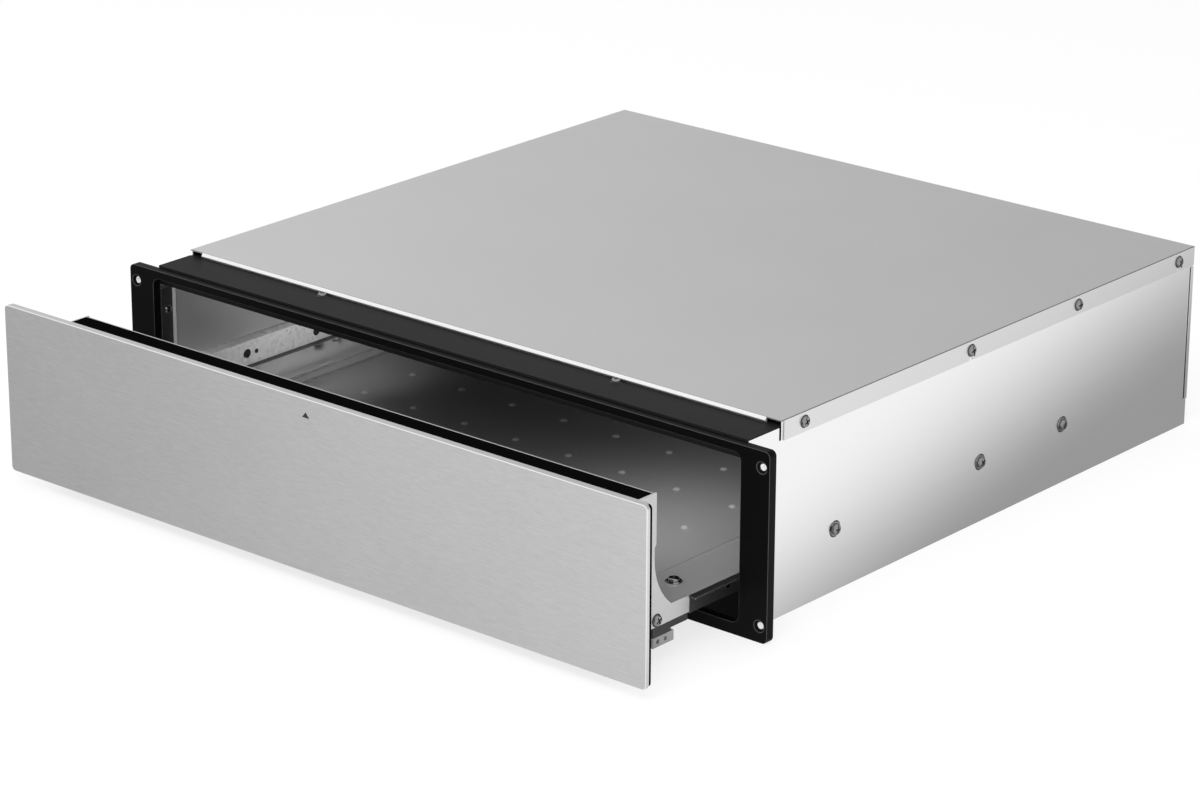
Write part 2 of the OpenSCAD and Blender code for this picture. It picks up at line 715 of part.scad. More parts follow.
module heating_ring() color("dimgray") in_case() {
    translate([0, ring_y, heat_z]) rotate([90, 0, 0]) rotate_extrude() translate([ring_r, 0]) circle(r = tube_r);
    for (x = [-ring_leg / 2, ring_leg / 2]) {
        rod_y(ring_y, duct_back - ring_y + 2 * leg_flange_r, tube_r, x, heat_z - ring_r);
        rod_y(duct_back, sheet_t, leg_flange_r, x, heat_z - ring_r);
    }
}

module motor_mount() color("silver") in_case() difference() {
    block([-mount_r, duct_back, heat_z - motor_r], [mount_r, mount_y, heat_z + motor_r]);
    rod_y(duct_back - over, mount_t + 2 * over, fan_hub_r, 0, heat_z);
}
module fan_motor() color([0.3, 0.3, 0.3]) in_case() difference() {
    union() {
        rod_y(mount_y, motor_l, motor_r, 0, heat_z);
        rod_y(mount_y + motor_l, motor_l * end_cap_l_share, motor_r * end_cap_share, 0, heat_z);
    }
    rod_y(mount_y - over, shaft_end - mount_y + 2 * over, shaft_r + fit, 0, heat_z);
}
module fan_wheel() color("silver") in_case() {
    rod_y(fan_y - shaft_r, shaft_end - fan_y + shaft_r, shaft_r, 0, heat_z);
    rod_y(fan_y, fan_w, fan_hub_r, 0, heat_z);
    rod_y(fan_y + fan_w - blade_t, blade_t, fan_r, 0, heat_z);
    for (i = [0:fan_blades - 1]) translate([0, 0, heat_z]) rotate([0, i * 360 / fan_blades, 0])
        translate([0, 0, fan_hub_r - blade_t]) rotate([0, blade_lean, 0])
            block([-blade_t / 2, fan_y, 0], [blade_t / 2, fan_y + fan_w, fan_r - fan_hub_r]);
}
module thermal_cutout() color("ivory") in_case() {
    rod_y(duct_back, cutout_h, cutout_r, duct_w / 4, heat_z);
    for (side = [-1, 1]) block([duct_w / 4 + side * cutout_r / 2 - blade_t, duct_back + cutout_h, heat_z - blade_t],
        [duct_w / 4 + side * cutout_r / 2 + blade_t, duct_back + 2 * cutout_h, heat_z + blade_t]);
}
module terminal_block() color("ivory") in_case() difference() {
    block([-inlet_x - block_w / 2, back_y - 3 * block_d, sheet_t],
        [-inlet_x + block_w / 2, back_y - 2 * block_d, sheet_t + block_h]);
    for (i = [-1:1]) rod_z(sheet_t + block_h / 2, block_h, shank_r * block_hole_share,
        i * block_hole_pitch - inlet_x, back_y - 2.5 * block_d);
}
module cable_inlet() color([0.1, 0.1, 0.1]) in_case() difference() {
    union() {
        rod_y(case_d, inlet_flange_t, inlet_flange_r, -inlet_x, inlet_z);
        rod_y(back_y - inlet_r, inlet_r + sheet_t + inlet_flange_t, inlet_r - fit, -inlet_x, inlet_z);
    }
    rod_y(back_y - inlet_r - over, case_d, inlet_r * inlet_bore_share, -inlet_x, inlet_z);
}

module latch_body() color([0.15, 0.15, 0.15]) in_case() difference() {
    union() {
        block([-latch_w / 2, latch_y, sheet_t], [latch_w / 2, latch_y + latch_l, sheet_t + latch_h]);
        block([-latch_w, latch_y, sheet_t], [latch_w, latch_y + latch_l, sheet_t + floor_t * 3]);
    }
    rod_y(latch_y - over, plunger_in + plunger_travel + 2 * over, plunger_r + fit, 0, plunger_z);
}
module latch_plunger() color("white") in_case() {
    rod_y(plunger_tip + plunger_nose, plunger_out + plunger_in - plunger_nose, plunger_r, 0, plunger_z);
    translate([0, plunger_tip, plunger_z]) rotate([-90, 0, 0])
        cylinder(h = plunger_nose, r1 = plunger_r * plunger_nose_share, r2 = plunger_r);
}

module cover_screws() color("silver") in_case() both_sides() for (i = [0:len(flange_screw_shares) - 1])
    screw_out_x(cover_x, flange_screw_l, flange_screw_y(i), flange_screw_z);
module rail_screws() color("silver") in_case() both_sides() for (i = [0:len(rail_screw_shares) - 1])
    screw_out_x(case_w / 2, case_w / 2 - rail_x + run_gap, rail_screw_y(i), rail_mid, washer = washer_t);
module cheek_screws() color("white") in_case() both_sides()
    translate([liner_x, (frame_t + liner_y) / 2, cheek_screw_z]) rotate([0, -90, 0])
        screw(sheet_t + sheet_t / 2, head_r * small_head_share);
module hood_screws() color("silver") in_case() for (x = [-hood_screw_span / 2, hood_screw_span / 2])
    translate([x, hood_screw_y, hood_top]) screw(3 * sheet_t, head_r * small_head_share);
module rear_screws() color("silver") in_case() at_rear_screws() screw(5 * sheet_t);

module front_panel() color("silver") in_drawer() difference() {
    plate_y(0, front_return) polygon(round_box(front_w, front_low, front_low + front_h, front_r));
    plate_y(skin_t, front_return)
        polygon(round_box(front_w - 2 * skin_t, front_low + skin_t, front_low + front_h - skin_t, front_r - skin_t));
}

module door_box() color([0.08, 0.08, 0.08]) in_drawer() difference() {
    block([-side_x, skin_t, door_low], [side_x, door_d, door_top]);
    block([door_t - side_x, 0, door_low + door_t], [side_x - door_t, door_d + over, door_top - door_t]);
}

module door_inner_panel() color("gainsboro") in_drawer() difference() {
    block([-side_x, door_d, door_low], [side_x, inner_back, door_top]);
    rod_y(door_d - over, inner_t + 2 * over, spindle_r + 2 * fit, knob_x, knob_z);
    rod_y(door_d - over, inner_t + 2 * over, lamp_r + fit, lamp_x, knob_z);
    block([rocker_x - housing_w / 2 - fit, door_d - over, knob_z - housing_h / 2 - fit],
        [rocker_x + housing_w / 2 + fit, inner_back + over, knob_z + housing_h / 2 + fit]);
}

module wing() difference() {
    plate_x(side_x, wing_t) polygon(concat(
        [[front_return, door_low], [front_return, door_top], [inner_back + wing_rear, door_top],
         [inner_back + wing_rear, wing_step_z], [inner_back, wing_step_z - wing_rear * wing_notch_share]],
        arc([wing_curve_y, wing_curve_z], wing_curve_r, 180, 270 - wing_curve_end),
        [[foot_end, foot_top], [foot_end, door_low]]));
    bore_x(side_x - over, wing_t + 2 * over, wing_screw_mid, wing_screw_z);
}
module wing_right() color("gainsboro") in_drawer() wing();
module wing_left() color("gainsboro") in_drawer() left() wing();

module corner_bracket() block([side_x, foot_end, door_low], [side_x + wing_t, corner_end, foot_top]);
module corner_bracket_right() color("gainsboro") in_drawer() corner_bracket();
module corner_bracket_left() color("gainsboro") in_drawer() left() corner_bracket();

module at_floor_screws() {
    for (x = [-floor_screw_x, floor_screw_x]) for (y = [floor_screw_y, floor_l - floor_screw_back])
        translate([x, inner_back + y, floor_z]) children();
}
module dimples() {
    for (i = [0:dimple_nx - 1]) for (j = [0:dimple_ny - 1])
        translate([(i - (dimple_nx - 1) / 2) * dimple_pitch_x,
            (recess_y + recess_end) / 2 + (j - (dimple_ny - 1) / 2) * dimple_pitch_y, pan_top])
            cylinder(h = dimple_h, d1 = dimple_d, d2 = dimple_d * dimple_top_share);
}
module drawer_floor() color("gray") in_drawer() {
    difference() {
        union() {
            block([-side_x, inner_back, rim_low], [side_x, floor_end, floor_z]);
            block([-recess_w / 2 - floor_t, recess_y - floor_t, pan_top - floor_t],
                [recess_w / 2 + floor_t, recess_end + floor_t, floor_z]);
            block([-side_x + runner_seat, floor_end - floor_t, rim_low],
                [side_x - runner_seat, floor_end, floor_z + floor_fold]);
        }
        block([-recess_w / 2, recess_y, pan_top], [recess_w / 2, recess_end, floor_z + over]);
        at_floor_screws() translate([0, 0, -2 * floor_t]) cylinder(h = 3 * floor_t, r = shank_r + fit);
    }
    dimples();
}

module runner() difference() {
    union() {
        block([side_x, corner_end, runner_low], [side_x + wing_t, runner_end, floor_z]);
        block([side_x - runner_seat, corner_end, rim_low - wing_t], [side_x + wing_t, runner_end, rim_low]);
        block([side_x, corner_end, lip_low], [side_x + wing_t + runner_lip, rear_axle_y - 2 * roller_r, floor_z]);
        block([side_x, rear_axle_y - rear_axle_in, runner_low],
            [side_x + wing_t, runner_end, rail_mid + rear_axle_in]);
    }
    at_floor_screws() translate([0, 0, -floor_t - 2 * wing_t]) cylinder(h = 3 * wing_t, r = shank_r + fit);
    rod_x(side_x - over, wing_t + 2 * over, axle_r + fit, rear_axle_y, rail_mid);
    rod_x(side_x - over, wing_t + 2 * over, shank_r + fit, corner_end + rivet_y, runner_low + rivet_up);
}
module runner_right() color([0.3, 0.28, 0.26]) in_drawer() runner();
module runner_left() color([0.3, 0.28, 0.26]) in_drawer() left() runner();

module front_brackets() color([0.15, 0.15, 0.15]) in_drawer() both_sides() difference() {
    union() {
        block([bracket_x, door_d, bracket_low], [side_x + wing_t, door_d + bracket_l, door_low]);
        block([bracket_x, door_d + bracket_l, step_low], [side_x + wing_t, door_d + bracket_l + step_l, door_low]);
        block([bracket_x, inner_back, step_low], [side_x, door_d + bracket_l + step_l, rim_low]);
    }
    bore_x(side_x - wing_screw_l, wing_screw_l + over, wing_screw_mid, wing_screw_z);
}
module clips() color("silver") in_drawer() both_sides() difference() {
    block([bracket_x, door_d, clip_low], [side_x + wing_t, door_d + clip_l, bracket_low]);
    for (side = [-1, 1]) rod_x(bracket_x - over, bracket_w + 2 * over, clip_hole_d / 2,
        door_d + bracket_l / 2 + side * clip_hole_pitch / 2, (clip_low + bracket_low) / 2);
}

module floor_screws() color("silver") in_drawer() at_floor_screws() screw(floor_screw_l, washer = washer_t);
module wing_screws() color("silver") in_drawer() both_sides()
    screw_out_x(side_x + wing_t, wing_t + wing_screw_l - fit, wing_screw_mid, wing_screw_z);
module runner_rivets() color("silver") in_drawer() both_sides() {
    rod_x(side_x - floor_t, floor_t + wing_t + run_gap / 2, shank_r, corner_end + rivet_y, runner_low + rivet_up);
    rod_x(side_x - floor_t, floor_t, shank_r + run_gap, corner_end + rivet_y, runner_low + rivet_up);
}
module rear_axles() color("silver") in_drawer() both_sides() {
    rod_x(side_x - floor_t, rear_roller_out - side_x + floor_t + run_gap, axle_r, rear_axle_y, rail_mid);
    rod_x(side_x - floor_t, floor_t, axle_head_r, rear_axle_y, rail_mid);
}

module striker() color("gainsboro") in_drawer() {
    block([-striker_w / 2, inner_back + striker_y - striker_l, pan_top - floor_t - striker_t],
        [striker_w / 2, inner_back + striker_y, pan_top - floor_t]);
    block([-striker_w / 2, inner_back + striker_y - striker_t, striker_low],
        [striker_w / 2, inner_back + striker_y, pan_top - floor_t]);
}

module thermostat() color("lightgray") in_drawer() {
    rod_y(door_d - knob_h * thermostat_share, knob_h * thermostat_share, knob_r, knob_x, knob_z);
    rod_y(door_d, knob_y - door_d + knob_h * knob_bore_share, spindle_r, knob_x, knob_z);
}
module thermostat_knob() color([0.1, 0.1, 0.1]) in_drawer() difference() {
    union() {
        translate([knob_x, knob_y, knob_z]) rotate([-90, 0, 0])
            cylinder(h = knob_h, r1 = knob_r, r2 = knob_r * knob_top_share);
        block([knob_x - sheet_t, knob_y, knob_z + knob_r * pointer_from],
            [knob_x + sheet_t, knob_y + knob_h + sheet_t, knob_z + knob_r * pointer_to]);
    }
    rod_y(knob_y - over, knob_h * knob_bore_share + 2 * over, spindle_r + fit, knob_x, knob_z);
}

module switch_housing() color([0.1, 0.1, 0.1]) in_drawer() difference() {
    union() {
        block([rocker_x - housing_w / 2, inner_back - 3 * rocker_r, knob_z - housing_h / 2],
            [rocker_x + housing_w / 2, inner_back, knob_z + housing_h / 2]);
        block([rocker_x - housing_w / 2 - 2 * skin_t, inner_back, knob_z - housing_h / 2 - 2 * skin_t],
            [rocker_x + housing_w / 2 + 2 * skin_t, inner_back + skin_t, knob_z + housing_h / 2 + 2 * skin_t]);
    }
    rod_x(rocker_x - rocker_w / 2 - run_gap, rocker_w + 2 * run_gap, rocker_r + run_gap, rocker_y, knob_z);
    rod_x(rocker_x - housing_w / 2 - over, housing_w + 2 * over, skin_t + fit, rocker_y, knob_z);
}
module rocker() color([0.7, 0.1, 0.1]) in_drawer() {
    intersection() {
        rod_x(rocker_x - rocker_w / 2, rocker_w, rocker_r, rocker_y, knob_z);
        translate([0, rocker_y, knob_z]) rotate([rocker_tilt, 0, 0])
            plate_x(rocker_x - rocker_w / 2, rocker_w) polygon([
                [-rocker_r, -rocker_r], [rocker_r * rocker_end_share, -rocker_r],
                [rocker_r * rocker_middle_share, 0],
                [rocker_r * rocker_end_share, rocker_r], [-rocker_r, rocker_r]]);
    }
    rod_x(rocker_x - housing_w / 2 + fit, housing_w - 2 * fit, skin_t, rocker_y, knob_z);
}
module pilot_lamp() color("orange") in_drawer() {
    rod_y(door_d - 3 * lamp_r, 3 * lamp_r + inner_t, lamp_r, lamp_x, knob_z);
    translate([lamp_x, inner_back, knob_z]) rotate([-90, 0, 0])
        cylinder(h = lamp_r / 2, r1 = lamp_r * lamp_rim_share, r2 = lamp_r);
}

module roller(x, width, r, y, z) difference() {
    rod_x(x, width, r, y, z);
    rod_x(x - over, width + 2 * over, axle_r + fit, y, z);
}
module front_roller() roller(roller_in, roller_out - roller_in, roller_r, roller_y, front_roller_z);
module front_roller_right() color("white") in_case() front_roller();
module front_roller_left() color("white") in_case() left() front_roller();
module rear_roller() roller(roller_in, rear_roller_out - roller_in, rear_roller_r, rear_axle_y, rail_mid);
module rear_roller_right() color("white") in_drawer() rear_roller();
module rear_roller_left() color("white") in_drawer() left() rear_roller();

base_pan();
side_wall_left();
side_wall_right();
rear_panel();
top_cover();
front_frame();
hood();
cheek_left();
cheek_right();
liner_left();
liner_right();
liner_top();
liner_back();
insulation();
rail_left();
rail_right();
front_axles();
air_duct();
heating_ring();
motor_mount();
fan_motor();
thermal_cutout();
terminal_block();
cable_inlet();
latch_body();
cover_screws();
rail_screws();
cheek_screws();
hood_screws();
rear_screws();
front_panel();
door_box();
door_inner_panel();
wing_left();
wing_right();
corner_bracket_left();
corner_bracket_right();
drawer_floor();
runner_left();
runner_right();
front_brackets();
clips();
floor_screws();
wing_screws();
runner_rivets();
rear_axles();
striker();
thermostat();
switch_housing();
pilot_lamp();
front_roller_left();
front_roller_right();
rear_roller_left();
rear_roller_right();
fan_wheel();
latch_plunger();
thermostat_knob();
rocker();
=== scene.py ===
import json
import math
import random

import bmesh
import bpy
from mathutils import Matrix, Vector, noise


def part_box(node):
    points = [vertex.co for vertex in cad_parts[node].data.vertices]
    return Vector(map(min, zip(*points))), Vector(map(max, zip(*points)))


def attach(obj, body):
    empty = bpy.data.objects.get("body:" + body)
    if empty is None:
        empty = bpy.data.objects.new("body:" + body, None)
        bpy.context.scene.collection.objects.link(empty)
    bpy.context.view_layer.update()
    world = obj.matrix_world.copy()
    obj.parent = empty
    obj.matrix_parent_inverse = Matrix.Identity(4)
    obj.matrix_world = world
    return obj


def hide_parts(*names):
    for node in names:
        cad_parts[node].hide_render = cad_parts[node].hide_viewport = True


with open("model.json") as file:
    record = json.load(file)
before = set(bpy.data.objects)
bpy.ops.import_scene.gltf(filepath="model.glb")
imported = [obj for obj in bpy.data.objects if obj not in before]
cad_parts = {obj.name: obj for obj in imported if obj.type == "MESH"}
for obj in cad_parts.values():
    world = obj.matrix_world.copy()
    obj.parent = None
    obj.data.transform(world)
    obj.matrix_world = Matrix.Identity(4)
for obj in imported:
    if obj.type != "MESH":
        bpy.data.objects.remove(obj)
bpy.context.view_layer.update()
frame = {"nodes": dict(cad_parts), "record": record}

MM = 0.001
SLOT_OF = {part["node"]: part["material_slot"] for part in frame["record"]["subparts"]}
BODY_OF = {node: body for body, nodes in frame["record"]["behaviour"]["bodies"].items() for node in nodes}


# Camera at the photograph's place
def make_camera():
    data = bpy.data.cameras.new("camera")
    data.sensor_width = 36
    data.lens = 124.114
    data.clip_start = 0.05
    data.clip_end = 60
    camera = bpy.data.objects.new("camera", data)
    across = Vector((0.76027, 0.64959, 0.00408))
    up = Vector((-0.22562, 0.25815, 0.93939))
    back = Vector((0.60917, -0.71511, 0.34282))
    place = Matrix((across, up, back)).transposed().to_4x4()
    place.translation = Vector((1.82897, -2.23318, 1.07902))
    camera.matrix_world = place
    bpy.context.scene.collection.objects.link(camera)
    bpy.context.scene.camera = camera


# Building blocks of the node trees
def node(tree, kind, settings=(), inputs=()):
    made = tree.nodes.new(kind)
    for name, value in dict(settings).items():
        setattr(made, name, value)
    for key, value in dict(inputs).items():
        if isinstance(value, bpy.types.NodeSocket):
            tree.links.new(value, made.inputs[key])
        else:
            made.inputs[key].default_value = value
    return made


def first_of(tree, kind, settings=(), inputs=()):
    return node(tree, kind, settings, inputs).outputs[0]


def maths(tree, operation, first, second=0.0):
    return first_of(tree, "ShaderNodeMath", {"operation": operation}, {0: first, 1: second})


def vector_maths(tree, operation, first, second):
    key = "Scale" if operation == "SCALE" else 1
    return first_of(tree, "ShaderNodeVectorMath", {"operation": operation}, {0: first, key: second})


def split_xyz(tree, vector):
    return node(tree, "ShaderNodeSeparateXYZ", (), {0: vector}).outputs


def joined_xyz(tree, parts):
    return first_of(tree, "ShaderNodeCombineXYZ", (), parts)


def object_place(tree):
    return node(tree, "ShaderNodeTexCoord").outputs["Object"]


def noise_of(tree, inputs):
    return node(tree, "ShaderNodeTexNoise", (), inputs)


def map_range(tree, value, start, end, low, high, kind="LINEAR"):
    return first_of(tree, "ShaderNodeMapRange", {"interpolation_type": kind}, {
        "Value": value, "From Min": start, "From Max": end, "To Min": low, "To Max": high})


def mix_shaders(tree, share, first, second):
    return first_of(tree, "ShaderNodeMixShader", (), {0: share, 1: first, 2: second})


def new_group(name, kind, inputs, outputs):
    tree = bpy.data.node_groups.new(name, kind)
    for label, socket, value in inputs:
        made = tree.interface.new_socket(label, in_out="INPUT", socket_type=socket)
        if value is not None:
            made.default_value = value
    for label, socket in outputs:
        tree.interface.new_socket(label, in_out="OUTPUT", socket_type=socket)
    return tree, tree.nodes.new("NodeGroupInput").outputs, tree.nodes.new("NodeGroupOutput").inputs


FLOAT = "NodeSocketFloat"
VECTOR = "NodeSocketVector"


# Noise drawn out by a stretch in lines per metre: tone, roughness and height of a rolled or brushed sheet
def grain_group():
    tree, given, out = new_group("sheet_grain", "ShaderNodeTree", [
        ("Stretch", VECTOR, (20, 900, 900)), ("Tone Depth", FLOAT, 0.1), ("Cloud Depth", FLOAT, 0.04),
        ("Roughness", FLOAT, 0.3), ("Roughness Depth", FLOAT, 0.1)],
        [("Tone", FLOAT), ("Roughness", FLOAT), ("Height", FLOAT)])
    place = object_place(tree)
    drawn = vector_maths(tree, "MULTIPLY", place, given["Stretch"])
    lines = noise_of(tree, {"Vector": drawn, "Scale": 1, "Detail": 4, "Roughness": 0.65})
    clouds = noise_of(tree, {"Vector": place, "Scale": 9, "Detail": 2, "Roughness": 0.5})
    line = maths(tree, "SUBTRACT", lines.outputs[0], 0.5)
    cloud = maths(tree, "SUBTRACT", clouds.outputs[0], 0.5)
    tone = maths(tree, "ADD", maths(tree, "MULTIPLY", line, given["Tone Depth"]), 1.0)
    tone = maths(tree, "ADD", tone, maths(tree, "MULTIPLY", cloud, given["Cloud Depth"]))
    spread = maths(tree, "MULTIPLY", maths(tree, "ADD", line, cloud), given["Roughness Depth"])
    tree.links.new(tone, out["Tone"])
    tree.links.new(maths(tree, "ADD", given["Roughness"], spread), out["Roughness"])
    tree.links.new(lines.outputs[0], out["Height"])
    return tree


# Crystals of a hot dipped zinc coat
def spangle_group():
    tree, given, out = new_group("zinc_spangle", "ShaderNodeTree", [
        ("Crystals", FLOAT, 220), ("Tone Depth", FLOAT, 0.3), ("Roughness", FLOAT, 0.3),
        ("Roughness Depth", FLOAT, 0.2)],
        [("Tone", FLOAT), ("Roughness", FLOAT), ("Height", FLOAT)])
    place = object_place(tree)
    bend = noise_of(tree, {"Vector": place, "Scale": 300, "Detail": 2})
    bent = vector_maths(tree, "ADD", place, vector_maths(tree, "SCALE", bend.outputs["Color"], 0.004))
    cells = node(tree, "ShaderNodeTexVoronoi", (), {"Vector": bent, "Scale": given["Crystals"]})
    shade = node(tree, "ShaderNodeSeparateColor", (), {0: cells.outputs["Color"]})
    red = maths(tree, "SUBTRACT", shade.outputs[0], 0.5)
    green = maths(tree, "SUBTRACT", shade.outputs[1], 0.5)
    tree.links.new(maths(tree, "ADD", maths(tree, "MULTIPLY", red, given["Tone Depth"]), 1.0), out["Tone"])
    rough = maths(tree, "ADD", given["Roughness"], maths(tree, "MULTIPLY", green, given["Roughness Depth"]))
    tree.links.new(rough, out["Roughness"])
    tree.links.new(shade.outputs[2], out["Height"])
    return tree


# Pebbled skin of powder coat and moulded plastic, with faint wiping marks
def coat_group():
    tree, given, out = new_group("coat_skin", "ShaderNodeTree", [
        ("Pebbles", FLOAT, 1200), ("Roughness", FLOAT, 0.35), ("Wipe Depth", FLOAT, 0.1),
        ("Tone Depth", FLOAT, 0.2)],
        [("Tone", FLOAT), ("Roughness", FLOAT), ("Height", FLOAT)])
    place = object_place(tree)
    pebbles = noise_of(tree, {"Vector": place, "Scale": given["Pebbles"], "Detail": 2})
    drawn = vector_maths(tree, "MULTIPLY", place, (14, 40, 60))
    wipes = noise_of(tree, {"Vector": drawn, "Scale": 1, "Detail": 5, "Roughness": 0.6})
    wipe = maths(tree, "SUBTRACT", wipes.outputs[0], 0.5)
    tree.links.new(maths(tree, "ADD", maths(tree, "MULTIPLY", wipe, given["Tone Depth"]), 1.0), out["Tone"])
    rough = maths(tree, "ADD", given["Roughness"], maths(tree, "MULTIPLY", wipe, given["Wipe Depth"]))
    tree.links.new(rough, out["Roughness"])
    tree.links.new(pebbles.outputs[0], out["Height"])
    return tree


# Triangle that points up, printed on a face that looks along Y
def arrow_group():
    tree, given, out = new_group("arrow_mark", "ShaderNodeTree", [
        ("Centre X", FLOAT, 0.0), ("Foot Z", FLOAT, 0.12), ("Width", FLOAT, 0.007), ("Height", FLOAT, 0.004)],
        [("Mask", FLOAT)])
    place = split_xyz(tree, object_place(tree))
    beside = maths(tree, "ABSOLUTE", maths(tree, "SUBTRACT", place[0], given["Centre X"]))
    climb = maths(tree, "DIVIDE", maths(tree, "SUBTRACT", place[2], given["Foot Z"]), given["Height"])
    half_width = maths(tree, "MULTIPLY", given["Width"], 0.5)
    left = maths(tree, "MULTIPLY", maths(tree, "SUBTRACT", 1.0, climb), half_width)
    between = maths(tree, "LESS_THAN", beside, left)
    inside = maths(tree, "MULTIPLY", between, maths(tree, "GREATER_THAN", climb, 0.0))
    tree.links.new(inside, out["Mask"])
    return tree


GRAIN = grain_group()
SPANGLE = spangle_group()
COAT = coat_group()
ARROW = arrow_group()


# Places of the colour sockets on a mix node
COLOUR_A, COLOUR_B, COLOUR_OUT = 6, 7, 2


def blended(tree, kind, amount, first, second):
    made = node(tree, "ShaderNodeMix", {"data_type": "RGBA", "blend_type": kind}, {"Factor": amount})
    for value, socket in ((first, made.inputs[COLOUR_A]), (second, made.inputs[COLOUR_B])):
        if isinstance(value, bpy.types.NodeSocket):
            tree.links.new(value, socket)
        else:
            socket.default_value = (*value, 1)
    return made.outputs[COLOUR_OUT]


BUMP_DISTANCE = 0.00002
PRINT_BLACK = (0.01, 0.01, 0.01)


# Material of one slot: a plain colour and gloss, varied by one of the groups above.
# Faces that carry the attribute edge, which rounding gives them, turn to the edge colour: a painted highlight
# where it is lighter, a painted dark line where it is darker.
def finish(slot, colour, group, values, metallic=0.0, bump=0.0, edge=None, mark=None, **sockets):
    material = bpy.data.materials.new(slot)
    material.use_nodes = True
    tree = material.node_tree
    shader = tree.nodes["Principled BSDF"]
    skin = node(tree, "ShaderNodeGroup", {"node_tree": group}, values)
    shown = blended(tree, "MULTIPLY", 1.0, colour, skin.outputs["Tone"])
    # Edge colour on rounded faces: painted highlight, or painted dark line where darker
    if edge:
        edge_paint = node(tree, "ShaderNodeAttribute", {"attribute_name": "edge"}).outputs["Fac"]
        shown = blended(tree, "MIX", edge_paint, shown, edge)
    shader.inputs["Metallic"].default_value = metallic
    if mark:
        printed = node(tree, "ShaderNodeGroup", {"node_tree": ARROW}, mark).outputs["Mask"]
        shown = blended(tree, "MIX", printed, shown, PRINT_BLACK)
        bare = maths(tree, "SUBTRACT", metallic, maths(tree, "MULTIPLY", printed, metallic))
        tree.links.new(bare, shader.inputs["Metallic"])
    tree.links.new(shown, shader.inputs["Base Color"])
    tree.links.new(skin.outputs["Roughness"], shader.inputs["Roughness"])
    if bump:
        bumps = first_of(tree, "ShaderNodeBump", (), {
            "Strength": bump, "Distance": BUMP_DISTANCE, "Height": skin.outputs["Height"]})
        tree.links.new(bumps, shader.inputs["Normal"])
    for name, value in sockets.items():
        shader.inputs[name.replace("_", " ")].default_value = value
    material.diffuse_color = (*colour, 1)
    return material


def grey(level):
    return (level, level, level)


def sheet_metal(slot, level, stretch, depth, rough, rough_depth=0.08, cloud=0.04, bump=0.05,
                metallic=1.0, **more):
    values = {"Stretch": stretch, "Tone Depth": depth, "Cloud Depth": cloud, "Roughness": rough,
              "Roughness Depth": rough_depth}
    return finish(slot, grey(level), GRAIN, values, metallic, bump, **more)


def coated(slot, colour, rough, wipe=0.08, pebbles=1400.0, bump=0.12, metallic=0.0, depth=0.15,
           shine=0.5, **more):
    values = {"Pebbles": pebbles, "Roughness": rough, "Wipe Depth": wipe, "Tone Depth": depth}
    return finish(slot, colour, COAT, values, metallic, bump, Specular_IOR_Level=shine, **more)


def zinc_coated(slot, level, crystals, depth, rough, metallic, rough_depth=0.25, bump=0.15):
    values = {"Crystals": crystals, "Tone Depth": depth, "Roughness": rough, "Roughness Depth": rough_depth}
    return finish(slot, grey(level), SPANGLE, values, metallic, bump)


MARK = {"Centre X": 0.0006, "Foot Z": 0.1205, "Width": 0.0068, "Height": 0.004}
ROLLED = (400, 60, 400)
